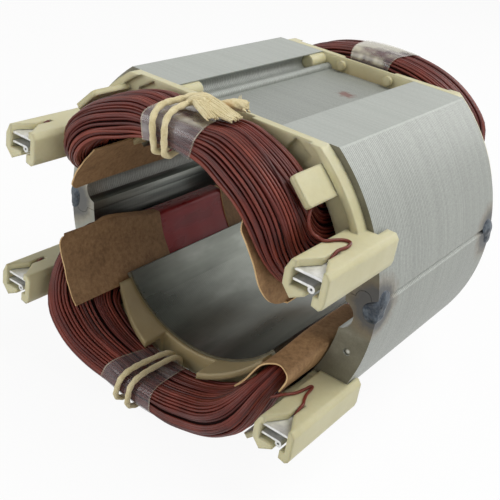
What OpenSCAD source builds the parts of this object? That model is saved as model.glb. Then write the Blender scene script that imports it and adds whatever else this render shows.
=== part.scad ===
// Wound stator of a two-pole brush motor.
// Millimetres. The bore runs along Y with the terminal end at -Y, and Z is up through the poles.
// The origin is on the bore's axis, halfway along the core.

/* [Core] */
// Outside diameter of the round flanks
core_od = 90; // [86:1:100]
// Depth of the top and bottom flats below the round outline
flat_drop = 10; // [8:0.5:11.5]
// Length of the lamination stack
core_len = 60.6; // [40:0.2:90]
// Radial thickness of the yoke beside the slots
yoke_t = 7.7; // [7:0.1:8.4]
// Height of the joint between the halves above the middle on the right, below it on the left
joint_rise = 5.6; // [5:0.1:8]
// Radius of the round tongue that locates the two halves
tongue_r = 1.9; // [1.2:0.1:2.2]
// Depth of the groove for the weld along each joint
weld_groove_depth = 0.9; // [0.6:0.1:1.4]
// Half the mouth of that groove
weld_groove_half = 0.8; // [0.5:0.1:1.2]
// Radius of the half-round groove for a through bolt
bolt_groove_r = 3.5; // [2.4:0.1:3.8]
// Diameter of the dimples that lock the laminations together
dimple_d = 1.8; // [1.4:0.1:2.4]
// Free gap between the two halves
half_gap = 0.1; // [0.05:0.01:0.3]

/* [Pole and recess] */
// Arc of each pole face in degrees
pole_arc = 105.4; // [100:0.2:108]
// Arc of each pole behind its horns in degrees
neck_arc = 88; // [84:0.5:92]
// Thickness of the horns
horn_t = 1.6; // [1.2:0.1:2]
// Depth of the coil slots between the horns and the yoke
slot_depth = 7.5; // [7:0.1:8.5]
// Width of the recess in the top and bottom flats
recess_w = 28.4; // [26:0.2:32]
// Depth of that recess
recess_depth = 3.8; // [3.4:0.1:4.4]
// Diameter of the channel for a frame's peg in each corner of the recess
peg_channel_d = 3.7; // [3.2:0.1:4]
// Radius of the lip beside each channel
lip_r = 1.3; // [1:0.1:1.6]

/* [Welds] */
// Length of each weld bead across the joint
weld_len = 8.5; // [7:0.5:12]
// Radius of the bead
weld_r = 2.6; // [2.2:0.1:2.8]
// Height of the bead's middle below the core's flank
weld_sink = 1.6; // [1.2:0.1:1.8]

/* [Coils] */
// Distance of the end turns from the core's faces
turn_gap = 3.3; // [3:0.1:5]
// Axial width of the end turns
turn_w = 15.4; // [12:0.2:20]
// Height of the coil sides over the pole's horns
coil_lift = 0.9; // [0.8:0.05:1.2]
// Gap between the coil sides and the yoke
coil_back = 1.1; // [0.9:0.1:1.6]
// Height of the end turns over the coil sides, towards the bore
turn_lift = 0.2; // [0.1:0.1:0.6]
// Sag of the upper front end turn towards the bore, in front of the frame's wall
front_sag = 0.8; // [0:0.1:0.9]
// Height of the upper coil's lower edge on the right, beside the joint
coil_low_right = 5; // [4.6:0.1:6.5]
// Height of the upper coil's lower edge on the left, clear of the bolt groove
coil_low_left = 8.2; // [6:0.1:9]
// Height of the upper front end turn's crown over the core's flat
upper_over = 1.6; // [1:0.1:3]
// Height of the lower front end turn's crown over the flat
lower_over = 5; // [4:0.1:5.4]
// Height of the rear crowns over the flats
rear_over = 3.2; // [2.4:0.1:4]
// Inset of the upper front end turn's shoulders from the core's flanks
front_in = 5.6; // [5:0.1:6.5]
// Inset of the lower front end turn's shoulders
lower_in = 4.8; // [4.6:0.1:6]
// Inset of the rear end turns' shoulders
rear_in = 4.4; // [3.6:0.1:6]
// Corner radius of the coil's window
window_round = 4; // [3:0.5:6]
// Outside corner radius of the coil
coil_round = 16; // [12:0.5:18]
// Wire diameter over the enamel
wire_d = 0.7; // [0.5:0.05:1]

/* [End frames] */
// Thickness of the plate on the core's face
plate_t = 2.4; // [2:0.1:2.8]
// Inset of the plate from the core's round flanks
plate_inset = 1.5; // [1:0.1:2.5]
// Width of the raised rim round the plate
rim_w = 1.6; // [1.2:0.1:2]
// Height of that rim over the plate
rim_h = 1.2; // [0.8:0.1:2]
// Thickness of the inner wall beside the bore
wall_t = 1.6; // [1.2:0.1:1.8]
// Reach of the inner wall from the core's face
wall_reach = 9; // [6:0.5:11]
// Half the width of the gap for the ties in that wall
tie_gap_half = 8; // [7:0.5:10]
// Thickness of the plate behind the ties
tie_floor_t = 1; // [0.8:0.1:1.2]
// Reach of the fingers outside the front end turns
finger_reach = 13.7; // [8:0.1:18]
// Width of a finger
finger_w = 7.2; // [5:0.2:10]
// Thickness of a finger
finger_t = 1.3; // [1:0.1:1.6]
// Diameter of a locating peg
peg_d = 3.5; // [3:0.1:3.6]
// Length of a locating peg in its channel
peg_len = 7; // [4:0.5:12]
// Free gap between mating pieces
fit_gap = 0.15; // [0.1:0.05:0.3]

/* [Terminal towers] */
// Reach of the towers from the core's face
tower_reach = 23; // [21:0.5:26]
// Width of a tower
tower_w = 9.6; // [9.2:0.1:10.4]
// Height of a tower
tower_h = 6.5; // [6.2:0.1:7.4]
// Distance of a tower's inner side in from the core's flank
tower_in = 10.8; // [10.4:0.1:11]
// Underside of the upper towers above the middle
upper_tower_z = 14.2; // [14:0.1:16]
// Underside of the lower towers below the middle
lower_tower_z = 22.4; // [21.5:0.1:23]
// Wall of a tower
tower_wall = 1.5; // [1.3:0.1:1.8]
// Depth of the terminal's pocket
pocket_depth = 15; // [13:0.5:17]
// Width of the slot for the lead in the top
lead_slot_w = 1; // [0.9:0.1:1.4]
// Length of that slot from the tower's mouth
lead_slot_len = 9.6; // [8.6:0.2:12]
// Reach of the hook over the core's flank
hook_reach = 4; // [2:0.5:8]
// Thickness of the terminal's metal
terminal_t = 0.5; // [0.4:0.05:0.7]
// Length of the terminal
terminal_len = 11; // [8:0.5:12]

/* [Insulation] */
// Thickness of the slot paper
paper_t = 0.4; // [0.25:0.05:0.45]
// Reach of the paper from the core's face
paper_reach = 18.5; // [8:0.5:19]
// Reach of the paper that is cut shorter, at the upper left and lower right
short_reach = 16.5; // [8:0.5:19]
// Corner radius of the paper's free end where the scissors rounded it
round_flap = 9; // [6:0.5:12]
// Corner radius of the paper's free end where it was cut straight
small_flap = 2; // [1:0.5:5]
// Width of the paper's narrow fold beside the joint
fold_w = 2.4; // [1.5:0.1:3]
// Length of a liner inside the slot
liner_in = 17; // [10:0.5:24]
// Thickness of the film wraps
film_t = 0.2; // [0.1:0.05:0.3]
// Width of a film wrap in degrees round the bore
film_arc = 22; // [16:1:26]
// Offset of the upper film from its tie in degrees
film_off = -1.5; // [-4:0.5:2]

/* [Ties] */
// Twine diameter
twine_d = 1.4; // [1:0.1:1.5]
// Angle of the upper tie round the bore, measured from the right
upper_tie_a = 93; // [85:1:97]
// Angle of the lower tie, measured from the left
lower_tie_a = 84; // [83:1:95]
// Depth to which a tie draws the crown in
tie_pinch = 1.2; // [0.8:0.1:1.8]

/* [Hidden] */
$fn = 72;

// Sizes that follow from those above
upper = 0;
lower = 1;
core_r = core_od / 2;
flat_z = core_r - flat_drop;
face_y = core_len / 2;
yoke_in_r = core_r - yoke_t;
horn_r = yoke_in_r - slot_depth;
bore_r = horn_r - horn_t;
floor_z = flat_z - recess_depth;
side_in_r = horn_r + coil_lift;
side_out_r = yoke_in_r - coil_back;
turn_in_r = side_in_r + turn_lift;
front_bulge = core_r - front_in;
lower_bulge = core_r - lower_in;
rear_bulge = core_r - rear_in;
tower_x = core_r - tower_in;
tongue_x = core_r - yoke_t / 2;
far = core_od;
peg_x = recess_w / 2;
peg_z = flat_z - 2.1;
lip_x = recess_w / 2 - peg_channel_d / 2 - lip_r + 0.6;
bolt_groove_x = yoke_in_r - 0.9;
dimple_r = core_r - yoke_t / 2;
dimple_a = 11.5;
dimple_depth = 0.5;

// Colours
steel = [0.66, 0.68, 0.65];
weld_grey = [0.32, 0.36, 0.4];
nylon = [0.86, 0.83, 0.66];
enamel = [0.42, 0.19, 0.16];
paper = [0.47, 0.36, 0.25];
tin = [0.82, 0.83, 0.84];
film = [0.7, 0.69, 0.66];
cotton = [0.92, 0.87, 0.68];

// Small helpers
function mix(a, b, t) = a + (b - a) * t;
function clamp01(t) = max(0, min(1, t));
function ease(t) = clamp01(t) * clamp01(t) * (3 - 2 * clamp01(t));
function unit(v) = v / norm(v);
function sgn(v) = v < 0 ? -1 : 1;
function soft(v) = sgn(v) * pow(abs(v), 0.6);
function soft_min(a, b, k) = let(h = clamp01(0.5 + (b - a) / k / 2)) mix(b, a, h) - k * h * (1 - h);

// Raises a profile drawn across the bore, X to the right and Y up, along the bore from y0 to y1
module along_bore(y0, y1) {
    translate([0, y1, 0])
        rotate([90, 0, 0])
            linear_extrude(height = y1 - y0)
                children();
}

// Flat wedge from the middle, between two angles
module wedge(a0, a1) {
    polygon([[0, 0], [far * cos(a0), far * sin(a0)], [far * cos((a0 + a1) / 2), far * sin((a0 + a1) / 2)],
        [far * cos(a1), far * sin(a1)]]);
}

// Part of a ring between two angles
module ring_part(r0, r1, a0, a1) {
    intersection() {
        difference() {
            circle(r = r1);
            circle(r = r0);
        }
        wedge(a0, a1);
    }
}

// Space for the coil side in one lamination, right-hand side
module slot_space() {
    difference() {
        intersection() {
            circle(r = yoke_in_r);
            wedge(-90 + neck_arc / 2, 90 - neck_arc / 2);
        }
        ring_part(bore_r, horn_r, 90 - pole_arc / 2, 90);
        ring_part(bore_r, horn_r, -90, -90 + pole_arc / 2);
    }
}

// Recess in a flat, with a peg channel and a lip in each corner
module recess() {
    difference() {
        translate([-recess_w / 2, floor_z])
            square([recess_w, far]);
        for (s = [-1, 1])
            translate([s * lip_x, floor_z])
                circle(r = lip_r);
    }
    for (s = [-1, 1])
        translate([s * peg_x, peg_z])
            circle(d = peg_channel_d);
}

// Whole lamination before it is parted
module lamination() {
    difference() {
        intersection() {
            circle(r = core_r);
            square([core_od, 2 * flat_z], center = true);
        }
        circle(r = bore_r);
        for (m = [0, 1]) {
            mirror([m, 0, 0])
                slot_space();
            rotate(180 * m)
                recess();
            rotate(180 * m)
                translate([-bolt_groove_x, 0])
                    circle(r = bolt_groove_r);
            rotate(180 * m)
                translate([core_r, joint_rise])
                    polygon([[-weld_groove_depth - core_r + sqrt(core_r * core_r - joint_rise * joint_rise), 0],
                        [1, weld_groove_half + 1], [1, -weld_groove_half - 1]]);
        }
    }
}

// What belongs to the upper half: above the joint, with a socket on the right and a tongue on the left
module upper_side() {
    difference() {
        union() {
            translate([0, joint_rise + half_gap / 2])
                square([far, far]);
            translate([-far, -joint_rise + half_gap / 2])
                square([far, far]);
            translate([-tongue_x, -joint_rise])
                circle(r = tongue_r - half_gap / 2);
        }
        translate([tongue_x, joint_rise])
            circle(r = tongue_r + half_gap / 2);
    }
}

module core_half() {
    color(steel)
        difference() {
            along_bore(-face_y, face_y)
                intersection() {
                    lamination();
                    upper_side();
                }
            for (a = [180 - dimple_a, 55])
                for (e = [-1, 1])
                    translate([dimple_r * cos(a), e * face_y, dimple_r * sin(a)])
                        rotate([90, 0, 0])
                            cylinder(d = dimple_d, h = 2 * dimple_depth, center = true);
        }
}

module core_half_upper() {
    core_half();
}

module core_half_lower() {
    rotate([0, 180, 0])
        core_half();
}

// Weld bead across the joint at the right, at the end that faces e
module weld_bead(e) {
    ring_r = core_r - weld_sink;
    mid_a = asin(joint_rise / core_r);
    half_a = (weld_len / 2 - weld_r) / core_r * 180 / PI;
    color(weld_grey)
        translate([0, e * (face_y - weld_r), 0])
            difference() {
                union() {
                    rotate([90, 0, 0])
                        rotate([0, 0, mid_a - half_a])
                            rotate_extrude(angle = 2 * half_a)
                                translate([ring_r, 0])
                                    circle(r = weld_r);
                    for (a = [mid_a - half_a, mid_a + half_a])
                        translate([ring_r * cos(a), 0, ring_r * sin(a)])
                            sphere(r = weld_r);
                }
                along_bore(-2 * weld_r, 2 * weld_r)
                    circle(r = core_r + half_gap / 2);
            }
}

module weld_front_right() {
    weld_bead(-1);
}

module weld_rear_right() {
    weld_bead(1);
}

module weld_front_left() {
    rotate([0, 180, 0])
        weld_bead(-1);
}

module weld_rear_left() {
    rotate([0, 180, 0])
        weld_bead(1);
}

// Field coil: a racetrack round the pole, bent to the bore. A station is
// [inner angle, outer angle, inner y, outer y, share of end turn, end, coil].
side_in_a = 90 - neck_arc / 2 - 1;
out_a_right = asin(coil_low_right / side_in_r);
out_a_left = asin(coil_low_left / side_in_r);
wind_r = (side_in_r + side_out_r) / 2;
turn_in_y = face_y + turn_gap;
turn_out_y = turn_in_y + turn_w;
function arc_a(s) = s / wind_r * 180 / PI;
in_corner_a = side_in_a + arc_a(window_round);
function out_corner_a(f) = (f < 0 ? out_a_right : out_a_left) + arc_a(coil_round);
function mid_span(f) = 90 - (in_corner_a + out_corner_a(f)) / 2;
function tie_a(c) = c == upper ? upper_tie_a : lower_tie_a;
function film_a(c) = c == upper ? upper_tie_a + film_off : lower_tie_a;

// Outer radius of an end turn at angle a: the upper coil's is round, and the lower one,
// on which the part lies, is flattened. The front one is drawn in by its tie.
function pinch(a, c) = tie_pinch * (1 - ease((abs(a - film_a(c)) - film_arc / 2 - 0.5) / 5));
function turn_out_r(a, e, c) =
    let(d = abs(a - 90),
        crown = flat_z + (e > 0 ? rear_over : (c == upper ? upper_over : lower_over)),
        bulge = e > 0 ? rear_bulge : (c == upper ? front_bulge : lower_bulge),
        r = c == upper ? mix(crown, bulge, ease(d / 42)) : soft_min(crown / cos(min(d, 60)), bulge, 1.8))
    mix(r, side_out_r, ease((d - 50) / 14)) - (e < 0 ? pinch(a, c) : 0);

// Inner radius: the upper front end turn sags at its free edge
function turn_sag(a, u, e, c) =
    e < 0 && c == upper ? front_sag * ease(u) * (1 - ease((abs(a - 90) - 22) / 16)) : 0;

function corner_station(t, e, low_a, c) = [
    side_in_a + arc_a(window_round * (1 - cos(t))),
    low_a + arc_a(coil_round * (1 - cos(t))),
    e * (turn_in_y - window_round * (1 - sin(t))),
    e * (turn_out_y - coil_round * (1 - sin(t))),
    ease(t / 90), e, c];
function turn_station(f, e, c) = [
    90 + f * (90 - in_corner_a), 90 + f * (90 - out_corner_a(f)),
    e * turn_in_y, e * turn_out_y, 1, e, c];
function flip(s) = [180 - s[0], 180 - s[1], s[2], s[3], s[4], s[5], s[6]];

// Point of a station's section: u runs from the window outward, v from the bore outward
function station_point(s, u, v) =
    let(w = (1 + u) / 2,
        a = mix(s[0], s[1], w),
        y = mix(s[2], s[3], w),
        r_in = mix(side_in_r, turn_in_r - turn_sag(a, u, s[5], s[6]), s[4]),
        r_out = mix(side_out_r, turn_out_r(a, s[5], s[6]), s[4]),
        r = mix(r_in, r_out, (1 + v) / 2))
    [r * cos(a), y, r * sin(a)];

// Section with rounded corners at p degrees round it, drawn in by dip and grown by g
function rise(s) = mix(side_out_r - side_in_r, turn_out_r((s[0] + s[1]) / 2, s[5], s[6]) - turn_in_r, s[4]);
function section_at(s, p, dip, g) =
    station_point(s, soft(cos(p)) * (1 - dip) * (1 + 2 * g / turn_w), soft(sin(p)) * (1 - dip) * (1 + 2 * g / rise(s)));

// Ridges stand for the bundle of wires
section_n = 32;
ridge = 0.035;
function ring(s, rough, g) = [for (k = [0:section_n - 1]) section_at(s, 360 * k / section_n, rough * (k % 2), g)];

// Stations round an end turn, with the film's own among them
function share(a) = (a - 90) / mid_span(a - 90);
function film_shares(c) =
    [for (i = [0:3]) mix(share(film_a(c) - film_arc / 2), share(film_a(c) + film_arc / 2), i / 3)];
function turn_shares(c) =
    let(fs = film_shares(c))
    concat([for (i = [1:3]) mix(-1, fs[0] - 0.12, i / 3)], fs, [for (i = [0:2]) mix(fs[3] + 0.12, 1, i / 3)]);
corner_steps = [0, 15, 30, 45, 60, 75, 90];
function back(v) = [for (i = [len(v) - 1:-1:0]) v[i]];
function coil_stations(c) = concat(
    [for (t = corner_steps) corner_station(t, -1, out_a_right, c)],
    [for (f = turn_shares(c)) turn_station(f, -1, c)],
    [for (t = back(corner_steps)) flip(corner_station(t, -1, out_a_left, c))],
    [for (t = corner_steps) flip(corner_station(t, 1, out_a_left, c))],
    [for (f = back(turn_shares(c))) turn_station(f, 1, c)],
    [for (t = back(corner_steps)) corner_station(t, 1, out_a_right, c)]);

// Closed loop of sections
module loop_solid(rings) {
    n = len(rings[0]);
    m = len(rings);
    pts = [for (r = rings) for (p = r) p];
    faces = [for (i = [0:m - 1]) for (k = [0:n - 1]) for (h = [0, 1])
        let(a = i * n + k, b = i * n + (k + 1) % n, c = ((i + 1) % m) * n + (k + 1) % n, d = ((i + 1) % m) * n + k)
        h == 0 ? [a, b, c] : [a, c, d]];
    polyhedron(points = pts, faces = faces);
}

module field_coil(c) {
    color(enamel)
        loop_solid([for (s = coil_stations(c)) ring(s, ridge, 0)]);
}

module field_coil_upper() {
    field_coil(upper);
}

module field_coil_lower() {
    rotate([0, 180, 0])
        field_coil(lower);
}

// Film wrap round an end turn: a sleeve between two grown sections
film_gap = 0.1;
module film_wrap(e, c) {
    steps = [for (f = film_shares(c)) turn_station(f, e, c)];
    outer = [for (s = steps) ring(s, 0, film_gap + film_t)];
    inner = [for (s = back(steps)) ring(s, 0, film_gap)];
    rings = e < 0 ? concat(outer, inner) : back(concat(outer, inner));
    color(film)
        loop_solid(rings);
}

module film_front_upper() {
    film_wrap(-1, upper);
}

module film_rear_upper() {
    film_wrap(1, upper);
}

module film_front_lower() {
    rotate([0, 180, 0])
        film_wrap(-1, lower);
}

module film_rear_lower() {
    rotate([0, 180, 0])
        film_wrap(1, lower);
}

// Round tube along a route, each point with its own radius
sweep_ref = [0.6, 0.1, 0.8];
module tube(route, radii, sides) {
    m = len(route);
    rings = [for (i = [0:m - 1])
        let(t = unit(route[min(i + 1, m - 1)] - route[max(i - 1, 0)]),
            n1 = unit(cross(t, sweep_ref)),
            n2 = cross(t, n1))
        [for (k = [0:sides - 1])
            route[i] + radii[i] * (cos(360 * k / sides) * n1 + sin(360 * k / sides) * n2)]];
    pts = [for (r = rings) for (p = r) p];
    side_faces = [for (i = [0:m - 2]) for (k = [0:sides - 1]) for (h = [0, 1])
        let(a = i * sides + k, b = i * sides + (k + 1) % sides)
        h == 0 ? [a, a + sides, b + sides] : [a, b + sides, b]];
    polyhedron(points = pts, faces = concat(side_faces,
        [[for (k = [0:sides - 1]) k]], [[for (k = [sides - 1:-1:0]) (m - 1) * sides + k]]));
}

// Twine round the front end turn, two turns side by side
twine_r = twine_d / 2;
twine_pitch = 3.2;
twine_slant = 2;
tie_grow = film_gap + film_t + 2 * fit_gap + twine_r;
tie_lean = 60;
function tie_turn(p, c) =
    let(half = twine_pitch / 2 / turn_in_r * 180 / PI,
        slant = c == upper ? twine_slant * sin(p + tie_lean) : 0,
        f = share(tie_a(c) + slant + half * (1 - 2 * ease((p - 300) / 120))))
    section_at(turn_station(f, -1, c), p + tie_lean, 0, tie_grow);
function tie_route(c) = [for (p = [0:20:700]) tie_turn(p, c)];

// The knot lies on the crown, with its tail over the frame's plate
knot_x = (flat_z + upper_over) * cos(upper_tie_a) + twine_pitch / 2;
knot_z = flat_z + upper_over - tie_pinch + film_gap + film_t + twine_d;
knot_route = [
    [knot_x + 1.2, -face_y - 8.6, knot_z + 1.3],
    [knot_x + 2.4, -face_y - 7.4, knot_z + 1.4],
    [knot_x + 3.8, -face_y - 6, knot_z + 1.3],
    [knot_x + 5.2, -face_y - 4.4, knot_z + 1],
    [knot_x + 6.6, -face_y - 2.6, knot_z + 0.8]];
knot_radii = [1.6, 1.9, 1.6, 0.9, 1.2];

module tie_upper() {
    color(cotton)
        tube(concat(tie_route(upper), knot_route),
            concat([for (p = tie_route(upper)) twine_r], knot_radii), 8);
}

module tie_lower() {
    color(cotton)
        rotate([0, 180, 0])
            tube(tie_route(lower), [for (p = tie_route(lower)) twine_r], 8);
}

// Slot liner: a sheet of paper over the bore side of a coil side, folded outward beside the joint and,
// where reach_r lets it, on over the yoke side; right-hand upper side
liner_in_r = side_in_r - paper_t - fit_gap;
liner_out_r = yoke_in_r - fit_gap;
liner_a1 = 41.5;
cuff_a = 23;

module liner_profile(fold, reach_r) {
    difference() {
        intersection() {
            union() {
                ring_part(liner_in_r, liner_in_r + paper_t, 0, liner_a1);
                ring_part(liner_out_r - paper_t, liner_out_r, 0, cuff_a);
                translate([0, fold])
                    square([far, paper_t]);
            }
            ring_part(liner_in_r, reach_r, 0, liner_a1);
        }
        translate([0, fold - far])
            square(far);
    }
}

// Outline of the paper seen from the side, with a corner of radius c at its free end
module flap_outline(fold, reach, c) {
    y_out = face_y + reach;
    translate([y_out - c, fold + c])
        circle(r = c);
    translate([0, fold])
        square([y_out - c, far]);
    translate([0, fold + c])
        square([y_out, far]);
}

// Liner at the end that faces e, for a coil side whose lower edge is at low
module liner(e, low, reach_r, reach, c) {
    fold = low - paper_t - fit_gap;
    color(paper)
        mirror([0, e < 0 ? 1 : 0, 0])
            intersection() {
                along_bore(face_y - liner_in, face_y + reach)
                    liner_profile(fold, reach_r);
                rotate([90, 0, 90])
                    linear_extrude(height = far)
                        flap_outline(fold, reach, c);
            }
}

module liner_right(e, c) {
    liner(e, coil_low_right, liner_in_r + fold_w, paper_reach, c);
}

module liner_left(e, reach_r) {
    mirror([1, 0, 0])
        liner(e, coil_low_left, reach_r, short_reach, small_flap);
}

module liner_front_upper_right() {
    liner_right(-1, round_flap);
}

module liner_front_upper_left() {
    liner_left(-1, liner_in_r + fold_w);
}

module liner_front_lower_right() {
    rotate([0, 180, 0])
        liner_left(-1, liner_out_r);
}

module liner_front_lower_left() {
    rotate([0, 180, 0])
        liner_right(-1, small_flap);
}

module liner_rear_upper_right() {
    liner_right(1, round_flap);
}

module liner_rear_upper_left() {
    liner_left(1, liner_in_r + fold_w);
}

module liner_rear_lower_right() {
    rotate([0, 180, 0])
        liner_left(1, liner_out_r);
}

module liner_rear_lower_left() {
    rotate([0, 180, 0])
        liner_right(1, round_flap);
}

// End frame, upper half at the front
plate_r = core_r - plate_inset;
wall_out_r = turn_in_r - film_gap - film_t - fit_gap;
wall_in_r = wall_out_r - wall_t;
plate_low = upper_tower_z;
finger_gap = 0.9;
finger_a = 45;
neck_inset = 3;
tie_side = 5.2;

// Inner wall seen along the bore, thinner at its ends to pass the paper
module wall_profile() {
    ring_part(wall_in_r, liner_in_r - fit_gap, 40, 140);
    ring_part(wall_in_r, wall_out_r, liner_a1 + 1.5, 178.5 - liner_a1);
}

module plate_outline(low) {
    intersection() {
        circle(r = plate_r);
        translate([-far, low])
            square([2 * far, flat_z - low]);
    }
}

module plate_profile(low) {
    difference() {
        plate_outline(low);
        circle(r = wall_in_r);
        difference() {
            circle(r = yoke_in_r + fit_gap);
            wedge(90 - neck_arc / 2 + neck_inset, 90 + neck_arc / 2 - neck_inset);
            wall_profile();
        }
    }
}

module rim_profile(low) {
    difference() {
        plate_outline(low);
        circle(r = plate_r - rim_w);
        translate([-recess_w / 2, 0])
            square([recess_w, far]);
    }
}

module inner_wall() {
    bow_r = 51;
    intersection() {
        along_bore(-face_y - wall_reach, -face_y - plate_t)
            wall_profile();
        translate([0, -face_y - wall_reach + bow_r, 0])
            cylinder(r = bow_r, h = far);
    }
}

// Plate, rim, wall and pegs; the wall is open in the middle and past the tie at angle gap_a
module frame_body(low, gap_a) {
    tie_x = wall_out_r * cos(gap_a);
    gap_left = max(tie_gap_half, tie_side - tie_x);
    gap_right = max(tie_gap_half, tie_side + tie_x);
    difference() {
        union() {
            along_bore(-face_y - plate_t, -face_y)
                plate_profile(low);
            along_bore(-face_y - plate_t - rim_h, -face_y - plate_t)
                rim_profile(low);
            inner_wall();
        }
        translate([-gap_left, -face_y - wall_reach - 1, 0])
            cube([gap_left + gap_right, wall_reach + 1 - tie_floor_t, far]);
        for (s = [-1, 1])
            rotate([0, s * 33, 0])
                translate([-2.6, -face_y - plate_t - 0.1, yoke_in_r - 3.4])
                    cube([5.2, 1.1, 5.6]);
    }
    for (s = [-1, 1])
        translate([s * peg_x, -face_y, peg_z])
            rotate([-90, 0, 0])
                cylinder(d = peg_d, h = peg_len);
}

// Fingers over the end turn's shoulders, with rounded free corners
finger_round = 1;
module finger_outline() {
    translate([-finger_w / 2, 0])
        square([finger_w, finger_reach - finger_round]);
    translate([-finger_w / 2 + finger_round, 0])
        square([finger_w - 2 * finger_round, finger_reach]);
    for (s = [-1, 1])
        translate([s * (finger_w / 2 - finger_round), finger_reach - finger_round])
            circle(r = finger_round);
}

module fingers(bulge) {
    for (s = [-1, 1])
        rotate([0, s * (90 - finger_a), 0])
            translate([0, -face_y, bulge + finger_gap])
                mirror([0, 1, 0])
                    linear_extrude(height = finger_t)
                        finger_outline();
}

// Terminal tower, its inner lower corner at the origin, open end at -Y
pocket_x = tower_wall + 0.1;
pocket_w = tower_w - tower_wall - pocket_x;
pocket_z = 1.1;
pocket_h = tower_h - tower_wall - pocket_z;
lead_x = pocket_x + pocket_w / 2 + 0.5;
foot_x = pocket_x + pocket_w - 1.2;
foot_gap = 1.7;
mouth_len = 5.1;

module tower_profile() {
    polygon([[0, 0.8], [2.1, -1.5], [foot_x - foot_gap, 0.2], [foot_x, 0.2], [foot_x, -0.9],
        [tower_w - 1, -1.3], [tower_w - 0.3, -0.8], [tower_w, 0.4], [tower_w, tower_h - 1.1],
        [tower_w - 0.9, tower_h], [1.1, tower_h], [0, tower_h - 2.4]]);
}

// The same with its pocket, which is open below beside the foot
module pocket_profile() {
    difference() {
        tower_profile();
        translate([pocket_x, pocket_z])
            square([pocket_w, pocket_h]);
        translate([foot_x - foot_gap, -1])
            square([foot_gap, pocket_z + 2]);
    }
}

// Turns a tower's section round where its foot is on the inner side
module footed(inner) {
    translate([inner ? tower_w : 0, 0])
        mirror([inner ? 1 : 0, 0])
            children();
}

// Opening in the tower's top: a tapered mouth and the slot for the lead
module mouth(front) {
    translate([lead_x - lead_slot_w / 2, front - 1])
        square([lead_slot_w, lead_slot_len + 1]);
    polygon([[pocket_x + 0.6, front - 1], [pocket_x + pocket_w, front - 1],
        [pocket_x + pocket_w, front + 0.8],
        [lead_x + lead_slot_w / 2, front + mouth_len],
        [lead_x - lead_slot_w / 2, front + mouth_len],
        [pocket_x + 0.6, front + 0.8]]);
}

module tower(inner) {
    front = -face_y - tower_reach;
    difference() {
        union() {
            along_bore(front, front + pocket_depth)
                footed(inner)
                    pocket_profile();
            along_bore(front + pocket_depth, -face_y)
                footed(inner)
                    tower_profile();
        }
        translate([0, 0, tower_h - tower_wall - 1])
            linear_extrude(height = tower_wall + 2)
                mouth(front);
    }
}

// The tower's outer wall, carried back over the core's flank
module hook(inner) {
    along_bore(-face_y - 1, -face_y + hook_reach)
        intersection() {
            footed(inner)
                tower_profile();
            translate([tower_w - 3, -2])
                square([3, tower_h + 2]);
        }
}

module hooked_tower(z, inner) {
    translate([tower_x, 0, z])
        tower(inner);
    difference() {
        translate([tower_x, 0, z])
            hook(inner);
        along_bore(-face_y, face_y)
            circle(r = core_r + fit_gap);
    }
}

// All feet are on the right: outside on the right-hand tower, inside on the other
module tower_pair(z) {
    hooked_tower(z, false);
    mirror([1, 0, 0])
        hooked_tower(z, true);
}

module front_frame_upper() {
    color(nylon) {
        frame_body(plate_low, upper_tie_a);
        fingers(front_bulge);
        tower_pair(upper_tower_z);
    }
}

module front_frame_lower() {
    color(nylon) {
        mirror([0, 0, 1]) {
            frame_body(lower_tower_z - tower_h + 0.8, 180 - lower_tie_a);
            fingers(lower_bulge);
        }
        tower_pair(-lower_tower_z);
    }
}

module rear_frame(gap_a) {
    color(nylon)
        mirror([0, 1, 0]) {
            frame_body(plate_low, gap_a);
            for (s = [-1, 1])
                translate([s * 7.2, -face_y, flat_z - 2])
                    rotate([-90, 0, 0])
                        cylinder(r = 1.3, h = 1.4);
        }
}

module rear_frame_upper() {
    rear_frame(upper_tie_a);
}

module rear_frame_lower() {
    mirror([0, 0, 1])
        rear_frame(180 - lower_tie_a);
}

// Terminal: a strip folded at the back, with a leaf above and another below that ends in a roll
roll_r = 0.8;
module leaf_profile() {
    translate([pocket_x + fit_gap, pocket_z + pocket_h - fit_gap - terminal_t])
        square([pocket_w - 2 * fit_gap, terminal_t]);
}

module roll_profile() {
    roll_x = foot_x - foot_gap / 2;
    roll_z = pocket_z + roll_r;
    translate([pocket_x + fit_gap, roll_z + roll_r - terminal_t])
        square([roll_x - pocket_x - fit_gap, terminal_t]);
    translate([roll_x, roll_z])
        difference() {
            circle(r = roll_r);
            circle(r = roll_r - terminal_t);
        }
}

module back_profile() {
    roll_z = pocket_z + roll_r;
    translate([pocket_x + fit_gap, roll_z + roll_r - terminal_t])
        square([pocket_w / 2, pocket_z + pocket_h - fit_gap - roll_z - roll_r + terminal_t]);
}

module terminal(inner) {
    front = -face_y - tower_reach + 0.5;
    rear = front + terminal_len;
    color(tin) {
        along_bore(front, rear)
            footed(inner) {
                leaf_profile();
                roll_profile();
            }
        along_bore(rear - terminal_t, rear)
            footed(inner)
                back_profile();
    }
}

module terminal_upper_right() {
    translate([tower_x, 0, upper_tower_z])
        terminal(false);
}

module terminal_upper_left() {
    mirror([1, 0, 0])
        translate([tower_x, 0, upper_tower_z])
            terminal(true);
}

module terminal_lower_right() {
    translate([tower_x, 0, -lower_tower_z])
        terminal(false);
}

module terminal_lower_left() {
    mirror([1, 0, 0])
        translate([tower_x, 0, -lower_tower_z])
            terminal(true);
}

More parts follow.
